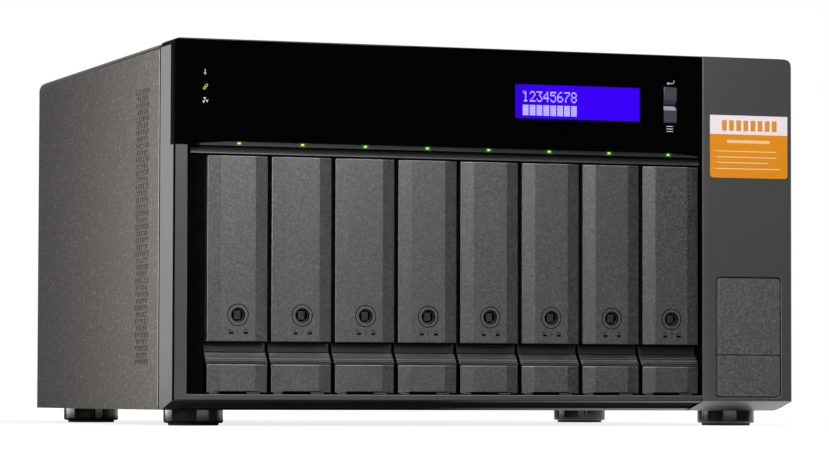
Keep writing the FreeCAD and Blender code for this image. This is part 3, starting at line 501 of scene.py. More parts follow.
def sprayed(name, dark, light):
    """Sprayed ABS: a grey lacquer, satin, with a fine mist texture 0.8 mm across."""
    finish, tree, shader, spot = surface(name)
    mist = node(tree, "ShaderNodeTexNoise", {"Vector": spot, "Scale": 1 / 0.0008, "Detail": 2.0})
    drift = node(tree, "ShaderNodeTexNoise", {"Vector": spot, "Scale": 1 / 0.05, "Detail": 1.0})
    base = node(tree, "ShaderNodeMix", {0: mist.outputs[0], 6: tint(dark), 7: tint(light)},
                data_type="RGBA")
    dull = node(tree, "ShaderNodeMapRange", {"Value": drift.outputs[0], "To Min": 0.32, "To Max": 0.38})
    skin = node(tree, "ShaderNodeBump", {"Height": mist.outputs[0], "Strength": 0.08, "Distance": 0.0001})
    feed(tree, shader, Base_Color=base.outputs[2], Roughness=dull.outputs[0], Specular_IOR_Level=1.0,
         Coat_Weight=0.3, Coat_Roughness=0.15, Normal=skin.outputs[0])
    return finish


lacquer = sprayed("satin_grey_lacquer_on_abs", "2A2A2A", "323232")

# Satin black with the mould's faint grain: the plastic's own black on a few edges, and painted shade
# in grooves, wells, recesses and the openings round the trays.
black_and_painted_shade = clouded("satin_black_abs_and_painted_shade", 2.0, "060606", "0C0C0C", 3.0, (0.34, 0.44), IOR=1.02)

# The channel's floor: matt charcoal, grained 1.5 mm across.
charcoal = clouded("matt_charcoal_channel", 1.5, "464646", "525252", 3.0, Roughness=0.7, IOR=1.1)

# The frame's outer rear edge and the cover's front edge are moved back by the setback. The rest are
# depths behind the front face.
COVER_SETBACK = 1.5
GROOVE_FRONT = 24.4
BLACK_EDGE_REAR = 1.0
CHANNEL_FRONT, CHANNEL_REAR = 3.0, 15.4

front_frame = welded("front_frame_shell", "front_frame", lacquer, black_and_painted_shade, charcoal)
nudge(front_frame, (0, COVER_SETBACK, 0), lambda x, y, z: y > 24.7
      and (abs(x) > 163.4 or z > 186.9 or z < 7.8))
for depth in (CHANNEL_FRONT, BLACK_EDGE_REAR, CHANNEL_REAR, GROOVE_FRONT):
    score(front_frame, (0, depth, 0), (0, 1, 0))
choose(front_frame, "FACE", lambda f: f.normal.x < -0.99 and middle_of(f)[0] < -164.5
       and middle_of(f)[1] > GROOVE_FRONT)
bpy.ops.mesh.extrude_region_move(TRANSFORM_OT_translate={"value": (0.0004, 0, 0)})
leave()
soften(front_frame, 0.9, lambda x, y, z: x < -164.5 and y < 0.1 and z < 136.3, 4, 1)
soften(front_frame, 0.5, lambda x, y, z: y < 0.1 and z < 136 and x > -163.2, 3)
soften(front_frame, 0.6, lambda x, y, z: abs(y - 20) < 0.3 and z < 8, 3)
paint_faces(front_frame, 2, lambda x, y, z, n: CHANNEL_FRONT < y < CHANNEL_REAR and z < 12.6 and x < 115)
# The black front left edge is the plastic's own; the groove's floor is painted black as shade.
paint_faces(front_frame, 1, lambda x, y, z, n: x < -164.0 and n.x < -0.9
            and (y > GROOVE_FRONT or (y < BLACK_EDGE_REAR and z < 136.5)))
# Painted shade: the faces inside the opening, black.
paint_faces(front_frame, 1, lambda x, y, z, n: x > -164.2 and y > 1.2 and 12.7 < z < 187)
# Painted shade: the rounding atop the left side, black.
paint_faces(front_frame, 1, lambda x, y, z, n: x < -160 and z > 184 and n.z > 0.15 and y < 24)
settle(front_frame, "front_frame_shell", "chassis", None, ["front_frame"])


# ---------------------------------------------------------------------------------------------
# Trim bar over the trays. A slim moulding with a rounded lower edge, clipped under the head of the
# frame, just behind the face of the glossy panel.

def block(name, x0, x1, y0, y1, z0, z1):
    """A block between two corners given in millimetres."""
    bpy.ops.object.select_all(action="DESELECT")
    centre = at((x0 + x1) / 2, (y0 + y1) / 2, (z0 + z1) / 2)
    bpy.ops.mesh.primitive_cube_add(size=1, location=centre)
    made = bpy.context.object
    made.name = name
    made.scale = ((x1 - x0) / 1000, (y1 - y0) / 1000, (z1 - z0) / 1000)
    bpy.ops.object.transform_apply(location=True, rotation=True, scale=True)
    return made


trim_bar = block("trim_bar", -155.2, 114.1, 3.2, 20.8, 132.45, 135.9)
nudge(trim_bar, (0, 1.9, 0), lambda x, y, z: y < 3.3 and z > 135)
soften(trim_bar, 0.5, lambda x, y, z: y < 3.3 and z < 133, 4)
settle(trim_bar, "trim_bar", "chassis", lacquer, ["bay_trim_bar"])

# A black shroud closes the gap between the frame and the first tray: painted shade in the opening.
shroud = block("opening_shade_shroud", -158.0, -147.9, 5.0, 6.4, 15.5, 132.3)
soften(shroud, 0.4, lambda x, y, z: x > -148.0, 2)
settle(shroud, "opening_shade_shroud", "chassis", black_and_painted_shade, ["front_frame"])


# ---------------------------------------------------------------------------------------------
# Lamp strip. Smoked polycarbonate under the panel's lower edge, thinned to a wedge at each end,
# with a green light guide showing at the middle of each bay.

# The first lamp's middle and the step to the next, and half a step in metres.
FIRST_LAMP, LAMP_STEP = -131.4, 32.46
HALF_STEP = LAMP_STEP / 2000

# Smoked polycarbonate: dark blue-green, polished, and lit from inside within 2.6 mm of each lamp.
smoked, tree, shader, spot = surface("smoked_polycarbonate")
parts = node(tree, "ShaderNodeSeparateXYZ", {0: spot})
turns = node(tree, "ShaderNodeMath", {0: parts.outputs["X"], 1: HALF_STEP - FIRST_LAMP / 1000},
             operation="ADD")
cycle = node(tree, "ShaderNodeMath", {0: turns.outputs[0], 1: LAMP_STEP / 1000}, operation="MODULO")
offset = node(tree, "ShaderNodeMath", {0: cycle.outputs[0], 1: HALF_STEP}, operation="SUBTRACT")
reach = node(tree, "ShaderNodeMath", {0: offset.outputs[0]}, operation="ABSOLUTE")
halo = node(tree, "ShaderNodeMapRange", {"Value": reach.outputs[0], "From Min": 0.0006, "From Max": 0.0026,
                                         "To Min": 0.16, "To Max": 0.0}, interpolation_type="SMOOTHERSTEP")
haze = node(tree, "ShaderNodeTexNoise", {"Vector": spot, "Scale": 1 / 0.004, "Detail": 2.0})
tone = node(tree, "ShaderNodeMix", {0: haze.outputs[0], 6: tint("272C2B"), 7: tint("303736")},
            data_type="RGBA")
feed(tree, shader, Base_Color=tone.outputs[2], Roughness=0.22, IOR=1.58, Emission_Color=tint("3BD000"),
     Emission_Strength=halo.outputs[0])

strip = block("lamp_strip_lens", -151.4, 112.0, 1.0, 8.6, 136.3, 138.3)
for x in (-137.0, 96.0):
    score(strip, (x, 0, 0), (1, 0, 0))
nudge(strip, (0, 0, -1.2), lambda x, y, z: (x < -151 or x > 111) and z > 137)
settle(strip, "lamp_strip_lens", "chassis", smoked, ["lamp_strip"])

# The strip's bed: black, as painted shade where it shows past the strip's tapered ends.
strip_bed = block("lamp_strip_bed", -155.0, 114.1, 1.3, 9.2, 136.1, 138.35)
soften(strip_bed, 0.2, lambda x, y, z: y < 1.4, 2)
settle(strip_bed, "lamp_strip_bed", "chassis", black_and_painted_shade, ["lamp_strip"])


def glowing(name, unlit, grain, dim, bright, strength, **sockets):
    """A body of one colour whose light is clouded between two others, in cells of a size in millimetres."""
    finish, tree, shader, spot = surface(name)
    noise = node(tree, "ShaderNodeTexNoise", {"Vector": spot, "Scale": 1000 / grain, "Detail": 1.0})
    shine = node(tree, "ShaderNodeMix", {0: noise.outputs[0], 6: tint(dim), 7: tint(bright)},
                 data_type="RGBA")
    feed(tree, shader, Base_Color=tint(unlit), Emission_Color=shine.outputs[2],
         Emission_Strength=strength, **sockets)
    return finish


# Light guide end: clear acrylic, frosted where the light leaves it, and lit a clouded yellow-green.
lamp_green = glowing("lit_green_acrylic", "1E4A08", 0.4, "A4FF30", "DCFF6A", 1.15, Roughness=0.25,
                     IOR=1.49)

lamp = block("bay_lamp_1", FIRST_LAMP - 0.85, FIRST_LAMP + 0.85, 0.75, 9.0, 136.95, 137.95)
soften(lamp, 0.4, lambda x, y, z: True, 3)
settle(lamp, "bay_lamp_1", "chassis", lamp_green, ["lamp_guides"])
for bay in range(2, 9):
    copy_to(lamp, f"bay_lamp_{bay}", (LAMP_STEP * (bay - 1), 0, 0), "chassis",
            ["lamp_guides"])


# ---------------------------------------------------------------------------------------------
# Column. A hollow moulding at the right of the front, in the frame's plastic and lacquer, with
# rounded right-hand corners and its own bevelled foot.

light_lacquer = sprayed("light_grey_lacquer_on_abs", "3A3A3A", "434343")
column = welded("column_shell", "column_panel", light_lacquer, black_and_painted_shade)
soften(column, 0.4, lambda x, y, z: y < 0.1 and x > 160, 3)
soften(column, 0.4, lambda x, y, z: y < 0.1 and x < 115 and z > 12, 3)
soften(column, 0.4, lambda x, y, z: y < 0.1 and 122 <= x <= 158.4 and 14 < z < 76, 3)
soften(column, 0.6, lambda x, y, z: abs(y - 20) < 0.3 and z < 8, 3)
# Painted shade: the column's faces inside the opening and round the cover plates, black.
paint_faces(column, 1, lambda x, y, z, n: y > 1.0
            and ((n.x < -0.9 and x < 115) or (120 < x < 160 and 13 < z < 77)))
settle(column, "column_shell", "chassis", None, ["column_panel"])

# A black sliver fills the joint between the two bevels.
joint = block("bevel_joint", 113.95, 114.55, 1.0, 19.4, 7.72, 8.4)
nudge(joint, (0, 0, 4.5), lambda x, y, z: y < 1.1)
settle(joint, "bevel_joint", "chassis", black_and_painted_shade, ["column_panel"])


# ---------------------------------------------------------------------------------------------
# Blank covers low on the column. Two snap-in plates with a spark-eroded skin, one above the other,
# each with a chamfered rim that shows a fine dark gap round it.

# Spark-eroded ABS: unpainted mid grey, its pitted skin 0.8 mm across.
cover_skin, tree, shader, spot = surface("fine_spark_eroded_abs")
pit = node(tree, "ShaderNodeTexNoise", {"Vector": spot, "Scale": 1 / 0.0008, "Detail": 4.0,
                                        "Roughness": 0.65})
fleck = node(tree, "ShaderNodeMapRange", {"Value": pit.outputs[0], "From Min": 0.44, "From Max": 0.66})
base = node(tree, "ShaderNodeMix", {0: fleck.outputs[0], 6: tint("424242"), 7: tint("666666")},
            data_type="RGBA")
skin = node(tree, "ShaderNodeBump", {"Height": pit.outputs[0], "Strength": 0.3, "Distance": 0.0002})
feed(tree, shader, Base_Color=base.outputs[2], Roughness=0.45, IOR=1.6, Normal=skin.outputs[0])

covers = welded("column_cover_plates", "column_covers", cover_skin)
soften(covers, 0.25, lambda x, y, z: y < 1.0, 2)
settle(covers, "column_cover_plates", "chassis", None, ["column_covers"])


# ---------------------------------------------------------------------------------------------
# Label. A thin vinyl sticker on the column, white above and orange below, with rounded lower
# corners. It carries no words, only eight bars for the bays, a bold rule and four with bullets.

# The height where the colours meet, in metres, the film's face, and how thick any ink is.
LABEL_SPLIT = 0.14875
LABEL_FACE = -0.1
INK = 0.03

# Printed vinyl: smooth film with a slight sheen, in two flat colours.
vinyl, tree, shader, spot = surface("printed_vinyl")
height = node(tree, "ShaderNodeSeparateXYZ", {0: spot})
above = node(tree, "ShaderNodeMapRange", {"Value": height.outputs["Z"], "From Min": LABEL_SPLIT - 0.00007,
                                          "From Max": LABEL_SPLIT + 0.00007})
film = node(tree, "ShaderNodeTexNoise", {"Vector": spot, "Scale": 1 / 0.003, "Detail": 3.0})
orange = node(tree, "ShaderNodeMix", {0: film.outputs[0], 6: tint("DE8A14"), 7: tint("E69018")},
              data_type="RGBA")
paint = node(tree, "ShaderNodeMix", {0: above.outputs[0], 6: orange.outputs[2], 7: tint("EFE4E8")},
             data_type="RGBA")
dull = node(tree, "ShaderNodeMapRange", {"Value": film.outputs[0], "To Min": 0.42, "To Max": 0.52})
feed(tree, shader, Base_Color=paint.outputs[2], Roughness=dull.outputs[0], IOR=1.25)

label = block("column_label", 118.6, 162.0, LABEL_FACE, 0.3, 126.5, 158.5)
choose(label, "EDGE", lambda e: abs(middle_of(e)[2] - 126.5) < 0.1
       and e.verts[0].co.y != e.verts[1].co.y)
bpy.ops.mesh.bevel(offset=0.0019, segments=6, affect="EDGES")
leave()
settle(label, "column_label", "chassis", vinyl)


def joined(pieces, name):
    """Several pieces made one."""
    bpy.ops.object.select_all(action="DESELECT")
    for piece in pieces:
        piece.select_set(True)
    bpy.context.view_layer.objects.active = pieces[0]
    bpy.ops.object.join()
    pieces[0].name = name
    return pieces[0]


# Screen inks: flat orange on the white, and flat cream on the orange.
label_orange = clouded("orange_screen_ink", 0.6, "D98A28", "E19634", Roughness=0.5, IOR=1.25)
label_cream = clouded("white_screen_ink", 0.6, "EDBE84", "F4D5A8", Roughness=0.5, IOR=1.25)

BAR_STEP, BAR_WIDTH = 4.0, 2.6
RULE_HALF = 0.25


def inked(name, x0, x1, z0, z1):
    """A printed stretch of the label, from just inside the film to the face of the ink."""
    return block(name, x0, x1, LABEL_FACE - INK, 0.1, z0, z1)


bay_bars = [inked("label_bay_bars", x, x + BAR_WIDTH, 150.6, 156.0)
            for x in (125.3 + BAR_STEP * n for n in range(8))]
settle(joined(bay_bars, "label_bay_bars"), "label_bay_bars", "chassis", label_orange)
rules = []
for z, end in ((140.1, 155.7), (137.1, 155.7), (134.3, 151.2), (131.2, 157.5)):
    for x0, x1 in ((122.0, end), (120.2, 120.7)):
        rules.append(inked("label_rules", x0, x1, z - RULE_HALF, z + RULE_HALF))
rules.append(inked("label_rules", 128.0, 152.0, 144.3, 145.9))
settle(joined(rules, "label_rules"), "label_rules", "chassis", label_cream)


# ---------------------------------------------------------------------------------------------
# Glossy panel. One sheet of black polished acrylic across the head of the frame, wrapped round
# the left edge, with a window for the screen and a slot for the two keys.

# Polished acrylic over black ink: close to a mirror, with nothing showing below the surface.
acrylic = clouded("polished_black_acrylic", 30.0, "010101", "030303", 4.0, (0.02, 0.05), twist=2.0,
                  IOR=1.3)

panel = welded("glossy_panel", "display_panel", acrylic, black_and_painted_shade)
soften(panel, 0.6, lambda x, y, z: y < 0.1 and (x < -164.5 or z > 188.0), 4)
soften(panel, 0.25, lambda x, y, z: y < 0.1 and z < 187.5 and x > -164, 2)
paint_faces(panel, 1, lambda x, y, z, n: n.x < -0.2 and x < -160)
settle(panel, "glossy_panel", "chassis", None, ["display_panel"])


# ---------------------------------------------------------------------------------------------
# Screen. A character display in the panel's window: a violet-blue backlight behind glass, with two
# rows of dots that show plain bay numbers over a row of full blocks.

# Backlit film: it shines violet-blue by itself, a shade darker to the left edge, under clear glass.
backlight, tree, shader, spot = surface("violet_backlit_film")
across = node(tree, "ShaderNodeSeparateXYZ", {0: spot})
edge = node(tree, "ShaderNodeMapRange", {"Value": across.outputs["X"], "From Min": 0.0123,
                                         "From Max": 0.030})
shine = node(tree, "ShaderNodeMix", {0: edge.outputs[0], 6: tint("3500E0"), 7: tint("3A00FE")},
             data_type="RGBA")
feed(tree, shader, Base_Color=tint("08001A"), Roughness=0.12, IOR=1.3, Emission_Color=shine.outputs[2],
     Emission_Strength=0.96)

# Lit dots: pale lilac.
dot_light = glowing("lilac_display_dots", "3A2A80", 6.0, "C9BEFF", "E6DFFF", 0.85, Roughness=0.3)

screen = block("screen_glass", 12.45, 79.85, 0.35, 9.6, 154.15, 170.75)
soften(screen, 0.2, lambda x, y, z: y < 0.4, 2)
settle(screen, "screen_glass", "chassis", backlight, ["lcd_module"])

DIGIT_ROWS = {
    "1": "00100 01100 00100 00100 00100 00100 01110",
    "2": "01110 10001 00001 00010 00100 01000 11111",
    "3": "11111 00010 00100 00010 00001 10001 01110",
    "4": "00010 00110 01010 10010 11111 00010 00010",
    "5": "11111 10000 11110 00001 00001 10001 01110",
    "6": "00110 01000 10000 11110 10001 10001 01110",
    "7": "11111 00001 00010 00100 01000 01000 01000",
    "8": "01110 10001 10001 01110 10001 10001 01110",
    "full": "11111 11111 11111 11111 11111 11111 11111",
}
DOT_STEP, ROW_STEP = 0.62, 0.76
DIGIT_TOP, BLOCK_TOP = 167.2, 160.3


def scattered(piece, name, shifts):
    """Copies of a piece at several distances in millimetres, joined with it."""
    copies = [piece]
    for shift in shifts:
        twin = bpy.data.objects.new(name, piece.data.copy())
        bpy.context.collection.objects.link(twin)
        twin.data.transform(Matrix.Translation([s / 1000 for s in shift]))
        copies.append(twin)
    return joined(copies, name)


lit = []
for place_in_row, sign in enumerate("12345678"):
    for shape, top in ((DIGIT_ROWS[sign], DIGIT_TOP), (DIGIT_ROWS["full"], BLOCK_TOP)):
        for down, row in enumerate(shape.split()):
            for along, state in enumerate(row):
                if state == "1":
                    lit.append(((place_in_row * 6 + along) * DOT_STEP, 0,
                                top - DIGIT_TOP - down * ROW_STEP))
dot = block("screen_dots", 16.4, 16.94, 0.31, 0.36, 166.9, 167.56)
dots = scattered(dot, "screen_dots", lit)
settle(dots, "screen_dots", "chassis", dot_light)


# ---------------------------------------------------------------------------------------------
# Enter and select keys. Two moulded keys share one slot, and their faces dip to a valley where
# they meet. An arrow and three bars are printed on the panel above and below them.

# Metallic-filled ABS: cool grey, satin, with a faint sparkle of aluminium 0.5 mm apart.
key_grey = clouded("metallic_grey_abs", 0.5, "4C4F58", "5B5F69", Roughness=0.24, IOR=1.6,
                   Metallic=0.45)

for source, name in (("enter_button", "enter_key"), ("select_button", "select_key")):
    key = welded(name, source)
    soften(key, 0.3, lambda x, y, z: y < 2.0, 3)
    settle(key, name, source, key_grey, [source])

# Screen-printed ink: flat pale grey.
print_grey = clouded("pale_grey_print", 0.5, "A9AEB2", "BCC1C5", Roughness=0.6)

# The marks on the panel start this far behind its face, and stand an ink's thickness proud of it.
MARK_BACK = 0.05


def thicken(piece, name):
    """Gives a flat mark its thickness and its name."""
    choose(piece, "FACE", lambda f: True)
    bpy.ops.mesh.extrude_region_move(TRANSFORM_OT_translate={"value": (0, -(MARK_BACK + INK) / 1000, 0)})
    bpy.ops.mesh.select_all(action="SELECT")
    bpy.ops.mesh.normals_make_consistent(inside=False)
    leave()
    piece.name = name


def wedge(name, points):
    """A mark cut to corner points in millimetres: right of the middle, and up."""
    bpy.ops.object.select_all(action="DESELECT")
    bpy.ops.mesh.primitive_circle_add(vertices=len(points), radius=0.001, fill_type="NGON",
                                      location=at(points[0][0], MARK_BACK, points[0][1]))
    made = bpy.context.object
    bpy.ops.object.transform_apply(location=True)
    for vertex, (x, z) in zip(made.data.vertices, points):
        vertex.co = at(x, MARK_BACK, z)
    thicken(made, name)
    return made


bars = [block("menu_mark", 94.4, 98.2, -INK, MARK_BACK, z, z + 0.38) for z in (149.1, 150.4, 151.7)]
settle(joined(bars, "menu_mark"), "menu_mark", "chassis", print_grey)
arrow = [wedge("enter_mark", [(94.6, 173.7), (95.8, 174.4), (95.8, 173.0)]),
         wedge("enter_mark", [(95.7, 173.5), (98.1, 173.5), (98.45, 173.9), (95.7, 173.9)]),
         wedge("enter_mark", [(98.1, 173.5), (98.7, 174.1), (98.7, 175.4), (98.3, 175.4), (98.3, 173.8)])]
settle(joined(arrow, "enter_mark"), "enter_mark", "chassis", print_grey)


# ---------------------------------------------------------------------------------------------
# Status marks. Three small pictograms lit through the panel at its left: a thermometer and a
# chain link in green, and a fan in white.

# Light through a mask in the ink: green.
mark_green = glowing("green_backlit_mark", "10300A", 1.0, "7FD63A", "C0EE6C", 0.9, Roughness=0.3)

# The same, white.
mark_white = glowing("white_backlit_mark", "303030", 1.0, "C8C8C8", "F0F0F0", 0.85, Roughness=0.3)


def ring(name, x, z, outer, inner, stretch=1.0, turn=0.0):
    """A flat ring, longer than wide by the stretch, turned about its middle."""
    bpy.ops.object.select_all(action="DESELECT")
    bpy.ops.mesh.primitive_circle_add(vertices=32, radius=outer / 1000, fill_type="NGON",
                                      rotation=(math.pi / 2, 0, 0), location=(0, 0, 0))
    made = bpy.context.object
    bpy.ops.object.transform_apply(location=True, rotation=True)
    choose(made, "FACE", lambda f: True)
    bpy.ops.mesh.inset(thickness=(outer - inner) / 1000)
    bpy.ops.mesh.delete(type="FACE")
    leave()
    thicken(made, name)
    spun = Matrix.Rotation(math.radians(turn), 4, "Y") @ Matrix.Diagonal((stretch, 1, 1, 1))
    made.data.transform(Matrix.Translation(at(x, MARK_BACK, z)) @ spun)
    return made


links = [ring("link_mark", x, z, 0.66, 0.40, 1.35, -50) for x, z in ((-149.35, 163.9), (-148.45, 165.1))]
settle(joined(links, "link_mark"), "link_mark", "chassis", mark_green)
stem = block("thermometer_mark", -149.32, -148.88, -INK, MARK_BACK, 171.0, 173.1)
bulb = ring("thermometer_mark", -149.1, 171.1, 0.52, 0.08)
settle(joined([stem, bulb], "thermometer_mark"), "thermometer_mark", "chassis", mark_green)

# A blade's corners, as a distance from the hub and an angle, and the hub's place.
BLADE = ((0.1, 0), (1.0, -22), (1.5, -26), (1.6, 30), (1.0, 26))
HUB_X, HUB_Z = -149.0, 158.0
blades = []
for turn in (100, 220, 340):
    corners = [(reach, math.radians(turn + angle)) for reach, angle in BLADE]
    blades.append(wedge("fan_mark", [(HUB_X + reach * math.cos(angle), HUB_Z + reach * math.sin(angle))
                                     for reach, angle in corners]))
settle(joined(blades, "fan_mark"), "fan_mark", "chassis", mark_white)


# ---------------------------------------------------------------------------------------------
# Trays. Each is one carrier: a hollow front with a narrow facet turned back down each side, a
# bulkhead, a windowed side plate and two rails that grip the drive. The front is spark-eroded ABS,
# and the parts behind it come smooth from the mould.

# Spark-eroded ABS: unpainted dark grey, its pitted skin 0.9 mm across, with pale flecks 0.5 mm
# across where the edges of the pits shine.
pitted, tree, shader, spot = surface("spark_eroded_abs")
pit = node(tree, "ShaderNodeTexNoise", {"Vector": spot, "Scale": 1 / 0.0009, "Detail": 4.0,
                                        "Roughness": 0.65})
fleck = node(tree, "ShaderNodeMapRange", {"Value": pit.outputs[0], "From Min": 0.46, "From Max": 0.64})
base = node(tree, "ShaderNodeMix", {0: fleck.outputs[0], 6: tint("0E0E0F"), 7: tint("1B1B1C")},
            data_type="RGBA")
pits = node(tree, "ShaderNodeTexVoronoi", {"Vector": spot, "Scale": 1 / 0.0005})
glint = node(tree, "ShaderNodeMapRange", {"Value": pits.outputs["Color"], "From Min": 0.5, "From Max": 0.9})
shade = node(tree, "ShaderNodeMix", {0: glint.outputs[0], 6: base.outputs[2], 7: tint("505052")},
             data_type="RGBA")
dull = node(tree, "ShaderNodeMapRange", {"Value": pit.outputs[0], "To Min": 0.34, "To Max": 0.42})
skin = node(tree, "ShaderNodeBump", {"Height": pit.outputs[0], "Strength": 0.3, "Distance": 0.0002})
feed(tree, shader, Base_Color=shade.outputs[2], Roughness=dull.outputs[0], IOR=1.75, Specular_IOR_Level=0.9,
     Normal=skin.outputs[0])

# Smooth ABS behind the tray fronts: near black, low sheen, with faint flow marks.
inner_abs = clouded("smooth_black_abs", 8.0, "1C1C1D", "262628", 3.0, (0.4, 0.52), twist=0.8, IOR=1.52)

# The first bay's middle, and the step to the next. To either side of its middle a tray front is flat
# as far as its facets, and ends at its edge. The lock's axis has its own height.
FIRST_BAY, BAY_STEP = -131.3, 32.75
FACET, FRONT_EDGE = 8.8, 15.25
LOCK_Z = 54


def beside(x, reach, slack=0.05):
    """Whether x lies at a distance to either side of the first bay's middle, in millimetres."""
    return abs(abs(x - FIRST_BAY) - reach) < slack


def from_lock(x, z):
    """How far a point lies from the axis of the first bay's lock, in millimetres."""
    return math.hypot(x - FIRST_BAY, z - LOCK_Z)


def crease(piece, test):
    """Keeps the edges that pass a test crisp when the piece is shaded smooth."""
    choose(piece, "EDGE", lambda e: test(*middle_of(e)))
    bpy.ops.mesh.mark_sharp()
    leave()


def fill_bays(piece, stem, body, stands_for=None):
    """Copies the first bay's piece to the other seven, each on the body of its own bay."""
    for bay in range(2, 9):
        copy_to(piece, f"{stem}_{bay}", (BAY_STEP * (bay - 1), 0, 0), f"{body}_{bay}",
                [f"{stands_for}_{bay}"] if stands_for else ())


tray = welded("tray_carrier_1", "tray_1", pitted, inner_abs, black_and_painted_shade)
soften(tray, 0.45, lambda x, y, z: z > 40.9 and y < 3.2 and (z > 131 or z < 41.1), 3)
soften(tray, 0.3, lambda x, y, z: y < 3.2 and beside(x, FRONT_EDGE) and z > 41.5, 3)
crease(tray, lambda x, y, z: y < 2.2 and beside(x, FACET))
paint_faces(tray, 1, lambda x, y, z, n: y > 14.0 or (y > 4.2 and abs(n.x) < 0.9))
# The wall of the lock's well in the tray front, painted black as shade.
paint_faces(tray, 2, lambda x, y, z, n: y > 1.83 and from_lock(x, z) < 5.7)
settle(tray, "tray_carrier_1", "tray_1", None, ["tray_1"])
fill_bays(tray, "tray_carrier", "tray", "tray")


# ---------------------------------------------------------------------------------------------
# Release levers. The foot of each tray front is a lever hinged near its lower edge. Over its face
# a ribbed lip leans back to a smooth band, and a fingertip hooks behind it.

# The ribs' foot and step, in metres, and where in each step the crest lies.
RIB_FOOT, RIB_STEP = 0.0319, 0.00143
CREST_AT = 0.66

# The lip's ribs: painted lighter where their crests catch the light, and painted dark in the grooves as
# shade.
rib_highlight_and_shade, tree, shader, spot = surface("ribs_painted_highlight_and_shade")
pit = node(tree, "ShaderNodeTexNoise", {"Vector": spot, "Scale": 1 / 0.0008, "Detail": 4.0,
                                        "Roughness": 0.7})
fleck = node(tree, "ShaderNodeMapRange", {"Value": pit.outputs[0], "From Min": 0.4, "From Max": 0.62})
crest_highlight = node(tree, "ShaderNodeMix", {0: fleck.outputs[0], 6: tint("404041"), 7: tint("707072")},
             data_type="RGBA")
parts = node(tree, "ShaderNodeSeparateXYZ", {0: spot})
lift = node(tree, "ShaderNodeMath", {0: parts.outputs["Z"], 1: RIB_FOOT}, operation="SUBTRACT")
steps = node(tree, "ShaderNodeMath", {0: lift.outputs[0], 1: RIB_STEP}, operation="DIVIDE")
phase = node(tree, "ShaderNodeMath", {0: steps.outputs[0]}, operation="FRACT")
away = node(tree, "ShaderNodeMath", {0: phase.outputs[0], 1: CREST_AT}, operation="SUBTRACT")
span = node(tree, "ShaderNodeMath", {0: away.outputs[0]}, operation="ABSOLUTE")
groove_shade = node(tree, "ShaderNodeMapRange", {"Value": span.outputs[0], "From Min": 0.13, "From Max": 0.24})
base = node(tree, "ShaderNodeMix", {0: groove_shade.outputs[0], 6: crest_highlight.outputs[2], 7: tint("0C0C0C")},
            data_type="RGBA")
skin = node(tree, "ShaderNodeBump", {"Height": pit.outputs[0], "Strength": 0.25, "Distance": 0.0002})
feed(tree, shader, Base_Color=base.outputs[2], Roughness=0.45, IOR=1.4, Normal=skin.outputs[0])

# The smooth band above them: ABS with a low even sheen, painted dark as the shade in its recess. The
# same finish paints the crevice under the ribs and the faces behind them dark as shade.
band = clouded("smooth_band_painted_shade", 4.0, "161616", "1E1E1E", dull=(0.32, 0.4), IOR=1.52)

lever = welded("release_lever_1", "latch_1", pitted, rib_highlight_and_shade, band)
nudge(lever, (0, 0, 0.3), lambda x, y, z: z > 40.1)
soften(lever, 0.5, lambda x, y, z: y < 3.1 and 29.5 < z < 30.2, 3)
soften(lever, 0.25, lambda x, y, z: y < 3.2 and 17 < z < 29 and beside(x, FRONT_EDGE), 3)
soften(lever, 0.3, lambda x, y, z: z > 40.0 and y < 8.6, 3)
soften(lever, 0.35, lambda x, y, z: beside(x, 15.65) and y < 8.6 and z > 30.6, 2)
crease(lever, lambda x, y, z: y < 2.6 and z < 29.9 and beside(x, FACET, 0.3))
paint_faces(lever, 1, lambda x, y, z, n: 31.7 < z < 36.3 and y < 8.4 and n.y < -0.1)
paint_faces(lever, 2, lambda x, y, z, n: z > 36.25 or (30.2 < z < 32.0 and y < 6.0) or y > 6.0)
settle(lever, "release_lever_1", "latch_1", None, ["latch_1"])
fill_bays(lever, "release_lever", "latch", "latch")


# ---------------------------------------------------------------------------------------------
# Key locks. A dark zinc core turns in a round well in each tray front, with a square post in it for
# the key. Two padlocks and a line are printed below: open on the left, shut on the right.

# Blackened die-cast zinc: dark grey, satin, brighter where the key has rubbed it.
cast_zinc = clouded("blackened_cast_zinc", 1.2, "2E2F32", "525458", 3.0, (0.3, 0.5), Metallic=0.8)

lock = welded("key_lock_1", "lock_1", cast_zinc, black_and_painted_shade)
soften(lock, 0.2, lambda x, y, z: y < 3.5 and from_lock(x, z) < 3.2, 2)
soften(lock, 0.2, lambda x, y, z: y < 3.2 and from_lock(x, z) > 3.3, 2)
# The lock's parts deep in the well round the post, painted black as shade.
paint_faces(lock, 1, lambda x, y, z, n: y > 4.0 or (from_lock(x, z) > 2.85 and y > 3.2))
settle(lock, "key_lock_1", "lock_1", None, ["lock_1"])
fill_bays(lock, "key_lock", "lock", "lock")

# Pad-printed ink: near black, matt.
print_black = clouded("matt_black_print", 0.5, "050505", "0C0C0C", Roughness=0.7, IOR=1.2)

PRINT_FRONT, PRINT_BACK = 1.74, 1.82
STROKE_HALF = 0.1


def printed(x, half, z0, z1):
    """A printed stroke or patch on the first tray, centred at x."""
    return block("lock_marks_1", x - half, x + half, PRINT_FRONT, PRINT_BACK, z0, z1)


# The line between the padlocks, then each padlock's body, two legs and top. The open one's shackle is
# swung to the left, with its left leg lifted clear.
marks = [printed(FIRST_BAY, STROKE_HALF, 44.6, 47.3)]
for x, swing, left_foot in ((FIRST_BAY - 3.4, -0.75, 46.1), (FIRST_BAY + 4.0, 0.0, 45.7)):
    marks.append(printed(x, 1.1, 44.7, 45.75))
    marks.append(printed(x - 0.6 + swing, STROKE_HALF, left_foot, 46.9))
    marks.append(printed(x + 0.6 + swing, STROKE_HALF, 45.7, 46.9))
    marks.append(printed(x + swing, 0.7, 46.8, 47.05))
marks = joined(marks, "lock_marks_1")
settle(marks, "lock_marks_1", "tray_1", print_black)
fill_bays(marks, "lock_marks", "tray")


